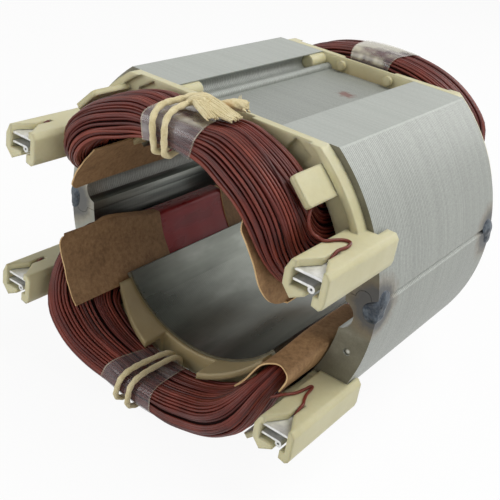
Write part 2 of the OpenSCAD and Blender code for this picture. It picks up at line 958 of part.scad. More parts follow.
// Lead end of a coil: from the end turn, over the tower's top and down the slot
wire_r = wire_d / 2;
module lead(z) {
    top = z + tower_h + wire_r + 0.05;
    x = tower_x + lead_x;
    y = -face_y - tower_reach + lead_slot_len;
    leaf = z + pocket_z + pocket_h - fit_gap + wire_r + 0.1;
    route = [
        [tower_x - 0.8, y + 1.2, top],
        [tower_x + 1.2, y + 1.4, top],
        [x - 2.6, y + 3.4, top],
        [x - 1.3, y + 4.8, top],
        [x - 0.1, y + 4.6, top],
        [x + 0.4, y + 2.6, top],
        [x, y - 0.3, top],
        [x, y - 1.6, mix(top, leaf, 0.4)],
        [x, y - 3, leaf]];
    color(enamel)
        tube(route, [for (p = route) wire_r], 8);
}

// Lead that stays inside its tower and only shows in the slot
module short_lead(z) {
    x = tower_x + lead_x;
    y = -face_y - tower_reach + lead_slot_len - wire_r - fit_gap;
    leaf = z + pocket_z + pocket_h - fit_gap + wire_r + 0.1;
    route = [
        [x, y, leaf - 0.1],
        [x, y - 0.1, leaf + 0.7],
        [x, y - 0.7, leaf + 1.2],
        [x, y - 1.5, leaf + 0.8],
        [x, y - 2.4, leaf]];
    color(enamel)
        tube(route, [for (p = route) wire_r], 8);
}

module lead_upper_right() {
    lead(upper_tower_z);
}

module lead_upper_left() {
    mirror([1, 0, 0])
        short_lead(upper_tower_z);
}

module lead_lower_right() {
    lead(-lower_tower_z);
}

module lead_lower_left() {
    mirror([1, 0, 0])
        short_lead(-lower_tower_z);
}

core_half_upper();
core_half_lower();
weld_front_right();
weld_front_left();
weld_rear_right();
weld_rear_left();
front_frame_upper();
front_frame_lower();
rear_frame_upper();
rear_frame_lower();
field_coil_upper();
field_coil_lower();
liner_front_upper_right();
liner_front_upper_left();
liner_front_lower_right();
liner_front_lower_left();
liner_rear_upper_right();
liner_rear_upper_left();
liner_rear_lower_right();
liner_rear_lower_left();
terminal_upper_right();
terminal_upper_left();
terminal_lower_right();
terminal_lower_left();
lead_upper_right();
lead_upper_left();
lead_lower_right();
lead_lower_left();
film_front_upper();
film_front_lower();
film_rear_upper();
film_rear_lower();
tie_upper();
tie_lower();
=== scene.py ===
import bpy
import math
import random
from collections import namedtuple
from mathutils import Matrix, Vector


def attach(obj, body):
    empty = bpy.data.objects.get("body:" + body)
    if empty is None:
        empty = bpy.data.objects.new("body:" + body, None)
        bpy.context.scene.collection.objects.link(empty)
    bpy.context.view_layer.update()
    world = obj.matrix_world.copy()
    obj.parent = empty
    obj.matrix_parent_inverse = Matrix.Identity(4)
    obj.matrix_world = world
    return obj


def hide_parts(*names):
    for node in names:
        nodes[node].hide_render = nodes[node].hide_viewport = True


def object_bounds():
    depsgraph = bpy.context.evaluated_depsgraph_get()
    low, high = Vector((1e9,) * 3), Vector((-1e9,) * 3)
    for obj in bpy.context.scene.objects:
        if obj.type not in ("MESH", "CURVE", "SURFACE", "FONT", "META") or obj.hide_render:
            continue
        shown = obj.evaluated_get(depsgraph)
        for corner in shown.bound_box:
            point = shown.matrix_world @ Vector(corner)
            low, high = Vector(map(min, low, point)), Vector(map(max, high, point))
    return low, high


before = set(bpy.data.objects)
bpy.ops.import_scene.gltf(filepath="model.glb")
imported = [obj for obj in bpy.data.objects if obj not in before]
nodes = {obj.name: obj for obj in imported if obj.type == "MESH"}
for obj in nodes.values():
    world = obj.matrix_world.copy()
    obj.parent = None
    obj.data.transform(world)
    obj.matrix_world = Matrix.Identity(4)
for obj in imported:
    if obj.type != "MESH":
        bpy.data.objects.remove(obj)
cad_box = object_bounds()
MM = 0.001
TURN = 6.283  # range of the random phases, a full turn

# ---------------------------------------------------------------- sizes in mm, angles in degrees
# The core, the slots and the coils' main sizes are those of the part's source.
FACE_Y = 30.3
CORE_R = 45.0
SHEET_T = 0.65
SIDE_IN_R, SIDE_OUT_R, TURN_IN_R = 30.7, 36.2, 30.9
SIDE_IN_A = 45.0
LOW_RIGHT, LOW_LEFT = 5.0, 8.2  # where a coil side starts above the joint, by the upper coil's sides
SLOT_LOW = 8.4  # the same for the lower left coil side in the middle of its slot, where it dips
CROWN = {("upper", -1): 36.6, ("lower", -1): 40.0, ("upper", 1): 38.2, ("lower", 1): 38.2}
BULGE = {("upper", -1): 39.4, ("lower", -1): 40.2, ("upper", 1): 40.6, ("lower", 1): 40.6}
BULGE_A, SHOULDER_A, SHOULDER_ARC = 42, 50, 14  # from the pole: full bulge, start and length of the run down
SHOULDER_BLEND = 1.8
WINDOW_ROUND, COIL_ROUND = 4.0, 16.0
TURN_GAP, TURN_W = 3.3, 15.4
FILM_ARC, TIE_PINCH, PINCH_EDGE = 22.0, 1.2, 5
TIE_A = {"upper": 93.3, "lower": 84.0}
FILM_A = {"upper": 91.5, "lower": 84.0}
WIRE_R, TWINE_R, STRAND_R = 0.35, 0.68, 0.17
TWINE_PITCH, TWINE_SLANT = 2.7, {"upper": 1.5, "lower": 0.0}
TOWER_X, TOWER_H = 34.2, 6.5
TOWER_Z = {"upper": 14.2, "lower": -22.4}
LEAD_X, LEAD_Y = 5.35, -43.7

# How the wound coils differ from the solids.
FRONT_SAG = 2.0  # how far the tied turn sags into the bore
SAG_A, SAG_ARC = 24, 16
LIMB_PUSH = 2.8  # how far the wires of a front end turn spread forward beside the pole
PUSH_A, PUSH_ARC = 16, 26
SECTION, CROWN_SECTION = 0.6, 0.8  # roundness of the coils' corners and of the tied crown's; 1 is an ellipse
FRONT_FADE = 20  # the tied turn's own section fades out over this far either side of the middle
SQUARE = 0.16  # how much fuller the tied turn is at its corner on the bore side, where the paper holds it
DIP_Y, DIP_FRONT, DIP_REAR = 38, 26, 20  # where the lower left side's dip starts, and how long it takes
WIRE_PITCH, WIRE_INSET, WIRE_SIDES = 0.80, 0.12, 8
INSIDE_DEPTH = 0.95
LEAD_GAP, FILM_GAP, TIE_GAP = 0.03, 0.12, 0.42  # from what each lies on
STRAYS = 5  # wires that climb across the outer layer, this many all round and as many on the outside
COIL_SEED = {"upper": 11, "lower": 23}

# Papers, skin, frayed twine and welds.
LINER_R, PAPER_T = 30.35, 0.36
PAPER_A, HIGH_PAPER_A = 41.5, 49.0  # how far up the coil side they go; the second at the upper right front
LONG_REACH, SHORT_REACH, FRONT_REACH = 18.5, 16.5, 21.7
ROUND_FLAP, SMALL_FLAP = 9.0, 2.0
PAPER_SLANT = 3.4  # how much shorter the high paper is along its top
LINER_IN, FOLD_R, FOLD_LIFT, FOLD_DIP = 17.0, 32.5, 0.35, 20
CUFF_R, CUFF_A, CUFF_REACH = 36.9, 24.5, 14.8
CUFF_DROP, CUFF_RUN, CUFF_RAGGED = 2.5, 13, 2.4
PAPER_STEPS = 24
SKIN_R, SKIN_Y, SKIN_A = 30.58, 15.5, 41.0
TUFT_FIBRES, LOOSE_FIBRES = 44, 6
WELD_Z, POOL_R = 5.6, 3.7
POOL_RINGS, POOL_STEPS = 18, 56

# Places of marks on the steel and the twine, in the frame.
WELDS = [(sx * 44.2, sy * 29.0, sx * 4.6) for sx in (1, -1) for sy in (1, -1)]
DIMPLE_GLINTS = [(sx * 40.35, sy * 30.0, sx * -8.35) for sx in (1, -1) for sy in (1, -1)]
SMEAR = (4.5, 13.5, 31.2)
STAIN = (5.0, -37.3, 37.4)


def mix(a, b, t):
    return a + (b - a) * t


def ease(t):
    t = max(0.0, min(1.0, t))
    return t * t * (3 - 2 * t)


def soft(v, power):
    return math.copysign(abs(v) ** power, v)


def soft_min(a, b, k):
    h = max(0.0, min(1.0, 0.5 + (b - a) / k / 2))
    return mix(b, a, h) - k * h * (1 - h)


def rad(a):
    return math.radians(a)


def height_a(z, r):
    """Angle at which the circle of radius r reaches the height z."""
    return math.degrees(math.asin(z / r))


# ---------------------------------------------------------------- the coil's stations, as in the part's source
Station = namedtuple("Station", "a_in a_out y_in y_out turn end half")
OUT_A = {"right": height_a(LOW_RIGHT, SIDE_IN_R), "left": height_a(LOW_LEFT, SIDE_IN_R)}
WIND_R = (SIDE_IN_R + SIDE_OUT_R) / 2
TURN_IN_Y = FACE_Y + TURN_GAP
TURN_OUT_Y = TURN_IN_Y + TURN_W


def arc_a(s):
    return math.degrees(s / WIND_R)


IN_CORNER_A = SIDE_IN_A + arc_a(WINDOW_ROUND)


def out_corner_a(f):
    return OUT_A["right" if f < 0 else "left"] + arc_a(COIL_ROUND)


def share(a):
    """Place along an end turn, from -1 to 1, of an angle."""
    return (a - 90) / (90 - (IN_CORNER_A + out_corner_a(a - 90)) / 2)


def turn_out_r(a, e, half):
    """Outer radius of an end turn, pinched under the film at the front."""
    d = abs(a - 90)
    crown, bulge = CROWN[half, e], BULGE[half, e]
    if half == "upper":
        r = mix(crown, bulge, ease(d / BULGE_A))
    else:
        r = soft_min(crown / math.cos(rad(min(d, 60))), bulge, SHOULDER_BLEND)
    r = mix(r, SIDE_OUT_R, ease((d - SHOULDER_A) / SHOULDER_ARC))
    if e < 0:
        past_film = abs(a - FILM_A[half]) - FILM_ARC / 2 - 0.5
        r -= TIE_PINCH * (1 - ease(past_film / PINCH_EDGE))
    return r


def turn_sag(a, u, e, half):
    if e > 0 or half == "lower":
        return 0.0
    return FRONT_SAG * ease(u) * (1 - ease((abs(a - 90) - SAG_A) / SAG_ARC))


def limb_push(a, e):
    return LIMB_PUSH * ease((abs(a - 90) - PUSH_A) / PUSH_ARC) if e < 0 else 0.0


def corner_station(t, e, side, half):
    """Station at t degrees round the corner between a coil side and an end turn."""
    s, c = math.sin(rad(t)), math.cos(rad(t))
    a_in = SIDE_IN_A + arc_a(WINDOW_ROUND * (1 - c))
    a_out = OUT_A[side] + arc_a(COIL_ROUND * (1 - c))
    if side == "left":
        a_in, a_out = 180 - a_in, 180 - a_out
    push = limb_push(out_corner_a(-1 if side == "right" else 1), e)
    y_in = TURN_IN_Y - WINDOW_ROUND * (1 - s)
    y_out = TURN_OUT_Y + push * ease(t / 90) - COIL_ROUND * (1 - s)
    return Station(a_in, a_out, e * y_in, e * y_out, ease(t / 90), e, half)


def turn_station(f, e, half):
    a_in = 90 + f * (90 - IN_CORNER_A)
    a_out = 90 + f * (90 - out_corner_a(f))
    return Station(a_in, a_out, e * TURN_IN_Y, e * (TURN_OUT_Y + limb_push(a_out, e)), 1.0, e, half)


def station_point(s, u, v):
    w = (1 + u) / 2
    a = mix(s.a_in, s.a_out, w)
    y = mix(s.y_in, s.y_out, w)
    r_in = mix(SIDE_IN_R, TURN_IN_R - turn_sag(a, u, s.end, s.half), s.turn)
    r_out = mix(SIDE_OUT_R, turn_out_r(a, s.end, s.half), s.turn)
    r = mix(r_in, r_out, (1 + v) / 2)
    return Vector((r * math.cos(rad(a)), y, r * math.sin(rad(a))))


def rise(s):
    turn_rise = turn_out_r((s.a_in + s.a_out) / 2, s.end, s.half) - TURN_IN_R
    return mix(SIDE_OUT_R - SIDE_IN_R, turn_rise, s.turn)


def section_at(s, p, g):
    """Point at p degrees round a station's section, grown by g."""
    c, n = math.cos(rad(p)), math.sin(rad(p))
    full, power = 1.0, SECTION
    if s.half == "upper" and c > 0:
        front = ease((FRONT_FADE - s.y_out) / (2 * FRONT_FADE))
        if n > 0:
            power = mix(SECTION, CROWN_SECTION, front)
        else:
            full += SQUARE * front * math.sin(2 * rad(p)) ** 2
    u, v = min(1.0, full * soft(c, power)), max(-1.0, full * soft(n, power))
    return station_point(s, u * (1 + 2 * g / TURN_W), v * (1 + 2 * g / rise(s)))


def slot_dip(half, side, y):
    """How far, in degrees, the lower left coil side sits below its ends in the middle of the slot."""
    if (half, side) != ("lower", "right"):
        return 0.0
    dip = ease((y + DIP_Y) / DIP_FRONT) * ease((DIP_Y - y) / DIP_REAR)
    return (height_a(SLOT_LOW, SIDE_IN_R) - OUT_A["right"]) * dip


def side_stations(a, b, side, half):
    out = []
    for i in range(1, 12):
        row = [mix(a[k], b[k], i / 12) for k in range(5)]
        row[1] += slot_dip(half, side, row[3]) * (1 if side == "right" else -1)
        out.append(Station(*row, a.end if i < 6 else b.end, half))
    return out


def coil_stations(half):
    corner = [i * 9.0 for i in range(10)]
    turn = [-1 + 2 * i / 40 for i in range(41)]
    out = [corner_station(t, -1, "right", half) for t in corner]
    out += [turn_station(f, -1, half) for f in turn]
    out += [corner_station(t, -1, "left", half) for t in reversed(corner)]
    out += side_stations(out[-1], corner_station(0, 1, "left", half), "left", half)
    out += [corner_station(t, 1, "left", half) for t in corner]
    out += [turn_station(f, 1, half) for f in reversed(turn)]
    out += [corner_station(t, 1, "right", half) for t in reversed(corner)]
    out += side_stations(out[-1], out[0], "right", half)
    return out


# ---------------------------------------------------------------- materials
BORE_EDGE_R = 28.6
FLAT_Z = 34.7  # the ground flats lie above this
RECESS_X, RECESS_LOW_Z, RECESS_HIGH_Z = 14.3, 28.8, 33
SLOT_R, SLOT_Z = 39, 23
HIGHLIGHT_FROM_X, HIGHLIGHT_TO_X = -30, -38  # painted highlight: the end sheets are lighter towards the left joint
SHADE_FROM_R, SHADE_TO_R = 36, 31  # painted shade: the nylon is darker and browner next to the coil
CROWN_GLINT_FROM_Z, CROWN_GLINT_TO_Z = 34.5, 35.3  # painted reflection: pale patches on the film's crown
WIRE_TONES = [(96, 38, 30), (110, 48, 37), (80, 30, 24), (124, 58, 45)]


def lin(*rgb):
    """Scene colour of an sRGB one."""
    return tuple((c / 255 / 12.92) if c <= 10 else ((c / 255 + 0.055) / 1.055) ** 2.4 for c in rgb) + (1.0,)


class Mat:
    """A node material with short calls for the nodes that are used here."""

    def __init__(self, name):
        self.mat = bpy.data.materials.new(name)
        self.mat.use_nodes = True
        self.tree = self.mat.node_tree
        self.shader = self.tree.nodes["Principled BSDF"]
        self.place = self.tree.nodes.new("ShaderNodeTexCoord").outputs["Object"]

    def node(self, kind, **sockets):
        n = self.tree.nodes.new(kind)
        for key, value in sockets.items():
            if key in n.inputs.keys():
                self.put(n.inputs[key], value)
            else:
                setattr(n, key, value)
        return n

    def put(self, socket, value):
        if isinstance(value, bpy.types.NodeSocket):
            self.tree.links.new(value, socket)
        else:
            socket.default_value = value

    def set(self, **values):
        for key, value in values.items():
            self.put(self.shader.inputs[key.replace("_", " ")], value)

    def at(self, scale):
        """The object's coordinates, stretched."""
        return self.node("ShaderNodeMapping", Vector=self.place, Scale=scale).outputs["Vector"]

    def noise(self, scale, detail, rough, vector=None):
        n = self.node("ShaderNodeTexNoise", Scale=scale, Detail=detail, Roughness=rough)
        self.put(n.inputs["Vector"], vector or self.place)
        return n.outputs["Fac"]

    def ramp(self, fac, stops):
        n = self.node("ShaderNodeValToRGB", Fac=fac)
        ramp = n.color_ramp
        while len(ramp.elements) < len(stops):
            ramp.elements.new(0.5)
        for el, (pos, colour) in zip(ramp.elements, stops):
            el.position = pos
            el.color = colour if isinstance(colour, tuple) else (colour, colour, colour, 1)
        return n.outputs["Color"]

    def math(self, op, a, b=0.0, clamp=False):
        n = self.node("ShaderNodeMath", operation=op, use_clamp=clamp)
        self.put(n.inputs[0], a)
        self.put(n.inputs[1], b)
        return n.outputs[0]

    def mul(self, a, b):
        return self.math("MULTIPLY", a, b)

    def add(self, a, b):
        return self.math("ADD", a, b)

    def sub(self, a, b):
        return self.math("SUBTRACT", a, b)

    def below(self, a, mm):
        """1 where a length is less than so many mm."""
        return self.math("LESS_THAN", a, mm * MM)

    def above(self, a, mm):
        return self.math("GREATER_THAN", a, mm * MM)

    def size(self, a):
        return self.math("ABSOLUTE", a)

    def axis_distance(self, x, z):
        return self.math("SQRT", self.add(self.mul(x, x), self.mul(z, z)))

    def fade(self, a, start, stop):
        """Goes from 0 to 1 as a length goes from start to stop, in mm."""
        n = self.node("ShaderNodeMapRange", Value=a)
        n.inputs["From Min"].default_value = start * MM
        n.inputs["From Max"].default_value = stop * MM
        return n.outputs["Result"]

    def blend(self, fac, a, b, kind="MIX"):
        n = self.node("ShaderNodeMix", data_type="RGBA", blend_type=kind)
        for k, value in ((0, fac), (6, a), (7, b)):
            self.put(n.inputs[k], value)
        return n.outputs[2]

    def bump(self, height, strength, distance, normal=None):
        n = self.node("ShaderNodeBump", Strength=strength, Distance=distance, Height=height)
        if normal is not None:
            self.put(n.inputs["Normal"], normal)
        return n.outputs["Normal"]

    def rounded(self, radius):
        """Normals as if the edges were rounded to a radius in mm."""
        return self.node("ShaderNodeBevel", samples=6, Radius=radius * MM).outputs["Normal"]

    def split(self, vector=None):
        n = self.node("ShaderNodeSeparateXYZ", Vector=vector or self.place)
        return n.outputs[0], n.outputs[1], n.outputs[2]

    def near(self, point, radius, soft_edge, noise=None, wobble=0.0):
        """1 inside a ball about a point in mm, fading out over soft_edge."""
        d = self.node("ShaderNodeVectorMath", operation="DISTANCE")
        self.put(d.inputs[0], self.place)
        d.inputs[1].default_value = Vector(point) * MM
        dist = d.outputs["Value"]
        if noise is not None:
            dist = self.add(dist, self.mul(self.sub(noise, 0.5), wobble * MM))
        return self.fade(dist, radius + soft_edge, radius)


class SteelMasks:
    """Where on the core a point lies, each mask 1 or 0, and the noises that several finishes share."""

    def __init__(self, m):
        _, ny, _ = m.split(m.node("ShaderNodeNewGeometry").outputs["Normal"])
        self.x, self.y, z = m.split()
        wide, high = m.size(self.x), m.size(z)
        radius = m.axis_distance(self.x, z)
        self.face = m.math("GREATER_THAN", m.size(ny), 0.8)
        self.bore = m.below(radius, BORE_EDGE_R)
        self.flat = m.above(high, FLAT_Z)
        recess = m.mul(m.below(wide, RECESS_X), m.below(high, RECESS_HIGH_Z))
        self.recess = m.mul(recess, m.above(high, RECESS_LOW_Z))
        slot = m.mul(m.below(radius, SLOT_R), m.below(high, SLOT_Z))
        self.slot = m.mul(slot, m.sub(1.0, self.face))
        self.rubbed = m.math("MAXIMUM", self.bore, self.slot)
        self.cloud = m.noise(38, 4, 0.5)
        self.fine = m.ramp(m.noise(2400, 3, 0.6), [(0.35, 0.2), (0.65, 0.8)])
        self.worn = m.noise(1.0, 4, 0.55, m.at((75, 24, 75)))


def sheet_edges(m, y):
    """Sheet by sheet: each lamination has its own random value and its own edge."""
    sheet = m.mul(y, 1 / (SHEET_T * MM))
    white = m.node("ShaderNodeTexWhiteNoise", noise_dimensions="1D", W=m.math("FLOOR", sheet))
    line = m.math("LESS_THAN", m.size(m.sub(m.math("FRACT", sheet), 0.5)), 0.36)
    return white.outputs["Value"], line


def stack_colour(m, k, own, line):
    """The outside of the stack: the two flats are ground nearly smooth, the recess floor between them is painted
    darker as shade.
    """
    shade = m.ramp(own, [(0.0, lin(157, 160, 154)), (0.5, lin(163, 166, 160)), (1.0, lin(168, 171, 165))])
    depth = m.sub(0.62, m.mul(k.flat, 0.48))
    colour = m.blend(m.mul(m.sub(1.0, line), depth), shade, lin(92, 94, 90))
    colour = m.blend(0.16, colour, m.ramp(k.cloud, [(0.3, lin(146, 149, 143)), (0.7, lin(178, 182, 175))]))
    grain = m.noise(1.0, 3, 0.6, m.at((2600, 900, 2600)))
    colour = m.blend(0.10, colour, m.ramp(grain, [(0.35, 0.22), (0.65, 0.78)]), "OVERLAY")
    colour = m.blend(0.10, colour, k.fine, "OVERLAY")
    colour = m.blend(m.mul(k.flat, 0.3), colour, lin(172, 177, 170))
    # painted shade: the recess floor is blended towards a darker grey
    return m.blend(m.mul(k.recess, 0.4), colour, lin(124, 128, 121))


def inner_colour(m, k, colour):
    """The slots are painted dark as shade, with long painted highlight streaks; the bore is smooth."""
    # painted shade and painted highlights: dark to bright streaks along the slots
    streak = m.noise(1.0, 3, 0.55, m.at((260, 14, 260)))
    streak = m.ramp(streak, [(0.35, lin(50, 54, 53)), (0.5, lin(92, 97, 93)), (0.66, lin(150, 154, 147))])
    colour = m.blend(m.mul(k.slot, 0.85), colour, streak)
    inside = m.ramp(k.worn, [(0.3, lin(78, 80, 74)), (0.55, lin(112, 115, 108)), (0.75, lin(152, 155, 148))])
    return m.blend(m.mul(k.bore, 0.9), colour, inside)


def end_colour(m, k):
    """The stamped end sheets: rolled steel, its tone painted darker as shade, with a few rubbed spots and a painted
    highlight towards the left joint.
    """
    mark = m.noise(1.0, 4, 0.6, m.at((120, 30, 200)))
    # painted shade: the end sheets' tone is darker than the stack's
    end = m.ramp(mark, [(0.3, lin(98, 95, 80)), (0.55, lin(112, 109, 94)), (0.75, lin(128, 125, 110))])
    end = m.blend(0.12, end, k.fine, "OVERLAY")
    # painted highlight: lighter towards the left joint
    bright = m.fade(k.x, HIGHLIGHT_FROM_X, HIGHLIGHT_TO_X)
    return m.blend(m.mul(bright, 0.6), end, lin(186, 190, 182))


def steel_marks(m, colour):
    """Painted highlights in the dimples, heat tint round the welds and a smear of varnish in the recess."""
    # painted highlight: a small bright spot in each dimple
    for point in DIMPLE_GLINTS:
        colour = m.blend(m.near(point, 0.25, 0.4), colour, lin(226, 226, 216))
    wobble = m.noise(420, 3, 0.6)
    for point in WELDS:
        tan = m.near(point, 5.6, 3.0, wobble, 3.6)
        blue = m.near(point, 4.6, 1.8, wobble, 3.0)
        colour = m.blend(m.mul(tan, 0.45), colour, lin(118, 98, 70))
        colour = m.blend(m.mul(blue, 0.7), colour, lin(62, 68, 76))
    smear = m.near(SMEAR, 1.2, 1.6, m.noise(700, 4, 0.6), 5.0)
    return m.blend(m.mul(smear, 0.8), colour, lin(112, 62, 54))


def make_steel():
    m = Mat("core_steel")
    k = SteelMasks(m)
    own, line = sheet_edges(m, k.y)
    colour = inner_colour(m, k, stack_colour(m, k, own, line))
    colour = steel_marks(m, m.blend(k.face, colour, end_colour(m, k)))
    rough = m.ramp(k.cloud, [(0.3, 0.44), (0.7, 0.54)])
    rough = m.blend(k.rubbed, rough, m.ramp(k.worn, [(0.3, 0.26), (0.7, 0.36)]))
    m.set(Base_Color=colour, Specular_IOR_Level=0.45, Roughness=rough)
    m.set(Metallic=m.add(0.3, m.mul(k.rubbed, 0.6)))
    smooth = m.math("MAXIMUM", k.face, m.math("MAXIMUM", k.rubbed, k.flat))
    height = m.add(m.mul(own, 0.4), m.mul(line, 0.6))
    m.set(Normal=m.bump(m.mul(height, m.sub(1.0, smooth)), 0.16, 0.00008))
    return m.mat


def make_weld():
    m = Mat("weld_bead")
    a = m.noise(380, 4, 0.6)
    b = m.noise(1500, 3, 0.6)
    base = m.ramp(a, [(0.3, lin(30, 38, 47)), (0.5, lin(52, 62, 74)), (0.72, lin(100, 110, 118))])
    base = m.blend(0.2, base, m.ramp(b, [(0.35, lin(40, 44, 50)), (0.7, lin(150, 152, 150))]))
    rough = m.ramp(a, [(0.3, 0.26), (0.7, 0.5)])
    m.set(Base_Color=base, Metallic=0.4, Roughness=rough, Specular_IOR_Level=0.35)
    m.set(Normal=m.bump(m.noise(900, 3, 0.5), 0.5, 0.0004))
    return m.mat


def make_nylon():
    m = Mat("nylon")
    a = m.noise(60, 3, 0.5)
    b = m.noise(900, 3, 0.6)
    base = m.ramp(a, [(0.25, lin(192, 185, 144)), (0.5, lin(202, 196, 158)), (0.78, lin(210, 205, 172))])
    base = m.blend(0.08, base, m.ramp(b, [(0.35, lin(184, 172, 118)), (0.7, lin(228, 224, 194))]))
    x, _, z = m.split()
    # painted shade: the nylon darkens and browns towards the coil
    wall_shade = m.fade(m.axis_distance(x, z), SHADE_FROM_R, SHADE_TO_R)
    shaded_tone = m.ramp(a, [(0.3, lin(138, 114, 74)), (0.7, lin(164, 142, 98))])
    m.set(Base_Color=m.blend(m.mul(wall_shade, 0.75), base, shaded_tone), Roughness=m.ramp(b, [(0.3, 0.4), (0.7, 0.5)]))
    m.set(Subsurface_Weight=0.2, Subsurface_Radius=(1.0, 0.75, 0.35), Subsurface_Scale=0.0014)
    m.set(Normal=m.bump(m.noise(1500, 2, 0.5), 0.06, 0.0001, m.rounded(1.1)))
    return m.mat


def make_wire(k, tone):
    m = Mat("wire_%d" % k)
    a = m.noise(160, 3, 0.6)
    dark = tuple(int(c * 0.8) for c in tone)
    light = tuple(min(255, int(c * 1.15)) for c in tone)
    m.set(Base_Color=m.ramp(a, [(0.3, lin(*dark)), (0.55, lin(*tone)), (0.8, lin(*light))]))
    m.set(Roughness=m.ramp(a, [(0.3, 0.3), (0.7, 0.4)]), Specular_IOR_Level=0.24)
    m.set(Coat_Weight=0.04, Coat_Roughness=0.16)
    return m.mat


# painted shade: the coil's inner body, near-black so the gaps between the outer wires read as shade
def make_shaded_inside():
    m = Mat("coil_inside")
    a = m.noise(400, 3, 0.6)
    m.set(Base_Color=m.ramp(a, [(0.3, lin(22, 10, 10)), (0.7, lin(36, 16, 14))]))
    m.set(Roughness=m.ramp(a, [(0.3, 0.7), (0.7, 0.85)]), Specular_IOR_Level=0.06)
    return m.mat


def make_paper(cut):
    m = Mat("slot_paper_edge" if cut else "slot_paper")
    a = m.noise(190, 5, 0.65)
    speck = m.noise(900, 4, 0.7)
    if cut:
        base = m.ramp(a, [(0.3, lin(176, 142, 98)), (0.7, lin(214, 182, 134))])
    else:
        base = m.ramp(a, [(0.25, lin(122, 92, 63)), (0.5, lin(156, 121, 84)), (0.8, lin(180, 146, 106))])
        base = m.blend(0.35, base, m.ramp(speck, [(0.35, lin(96, 69, 45)), (0.7, lin(196, 158, 116))]))
    m.set(Base_Color=base, Roughness=m.ramp(speck, [(0.3, 0.6), (0.7, 0.78)]), Specular_IOR_Level=0.35)
    m.set(Normal=m.bump(speck, 0.15, 0.0002))
    return m.mat


def make_tin():
    m = Mat("tin_plate")
    a = m.noise(600, 4, 0.6)
    m.set(Base_Color=m.ramp(a, [(0.3, lin(206, 207, 206)), (0.7, lin(236, 236, 234))]), Metallic=0.5)
    m.set(Roughness=m.ramp(a, [(0.3, 0.32), (0.7, 0.46)]), Normal=m.bump(a, 0.05, 0.0001, m.rounded(0.15)))
    return m.mat


def make_skin():
    m = Mat("varnish_skin")
    a = m.noise(1.0, 3, 0.55, m.at((240, 60, 240)))
    m.set(Base_Color=m.ramp(a, [(0.3, lin(140, 28, 32)), (0.6, lin(162, 40, 42)), (0.8, lin(180, 62, 60))]))
    m.set(Roughness=m.ramp(a, [(0.3, 0.24), (0.7, 0.34)]), Specular_IOR_Level=0.28)
    m.set(Normal=m.bump(a, 0.2, 0.0004))
    return m.mat


def make_film(edge):
    """Clear film: grey over the wires, with pale patches on the crown painted as reflections."""
    m = Mat("film_edge" if edge else "clear_film")
    streak = m.noise(1.0, 3, 0.55, m.at((60, 260, 160)))
    patch = m.noise(105, 3, 0.55)
    if edge:
        m.set(Base_Color=m.ramp(patch, [(0.3, lin(168, 160, 140)), (0.7, lin(214, 208, 188))]))
        m.set(Alpha=m.ramp(streak, [(0.35, 0.25), (0.7, 0.7)]))
    else:
        _, _, z = m.split()
        # painted reflection: pale, less clear patches on the crown
        crown_glint = m.mul(m.fade(z, CROWN_GLINT_FROM_Z, CROWN_GLINT_TO_Z), m.ramp(patch, [(0.42, 0.0), (0.56, 1.0)]))
        clear = m.ramp(streak, [(0.3, lin(104, 92, 96)), (0.55, lin(132, 122, 124)), (0.72, lin(176, 170, 168))])
        m.set(Base_Color=m.blend(crown_glint, clear, lin(206, 200, 174)))
        thin = m.ramp(streak, [(0.3, 0.3), (0.55, 0.44), (0.72, 0.7)])
        m.set(Alpha=m.math("ADD", thin, m.mul(crown_glint, 0.3), clamp=True))
    m.set(Roughness=m.ramp(patch, [(0.3, 0.12), (0.7, 0.22)]), Coat_Weight=0.7, Coat_Roughness=0.06)
    m.set(Normal=m.bump(streak, 0.25, 0.0005))
    return m.mat


def make_twine():
    m = Mat("cotton_twine")
    a = m.noise(400, 4, 0.65)
    b = m.noise(2600, 3, 0.6)
    base = m.ramp(a, [(0.25, lin(206, 190, 142)), (0.5, lin(222, 208, 164)), (0.8, lin(232, 222, 186))])
    base = m.blend(0.22, base, m.ramp(b, [(0.35, lin(182, 160, 108)), (0.7, lin(242, 234, 206))]))
    base = m.blend(m.mul(m.near(STAIN, 0.5, 1.1, a, 1.2), 0.6), base, lin(190, 132, 66))
    m.set(Base_Color=base, Roughness=m.ramp(b, [(0.3, 0.8), (0.7, 0.95)]))
    m.set(Sheen_Weight=0.2, Specular_IOR_Level=0.2, Normal=m.bump(b, 0.4, 0.0003))
    return m.mat


STEEL, WELD, NYLON, TIN, TWINE = make_steel(), make_weld(), make_nylon(), make_tin(), make_twine()
PAPER, PAPER_EDGE = make_paper(False), make_paper(True)
FILM, FILM_EDGE = make_film(False), make_film(True)
WIRES = [make_wire(k, tone) for k, tone in enumerate(WIRE_TONES)]
SHADED_INSIDE, SKIN = make_shaded_inside(), make_skin()


# ---------------------------------------------------------------- pieces
def piece(name, build, mats, replaces=()):
    mesh = bpy.data.meshes.new(name)
    mesh.from_pydata([tuple(c * MM for c in v) for v in build.v], [], build.f)
    for mat in mats:
        mesh.materials.append(mat)
    mesh.polygons.foreach_set("material_index", build.m)
    mesh.polygons.foreach_set("use_smooth", [True] * len(mesh.polygons))
    mesh.update()
    obj = bpy.data.objects.new(name, mesh)
    bpy.context.scene.collection.objects.link(obj)
    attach(obj, "root")
    if replaces:
        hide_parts(*replaces)


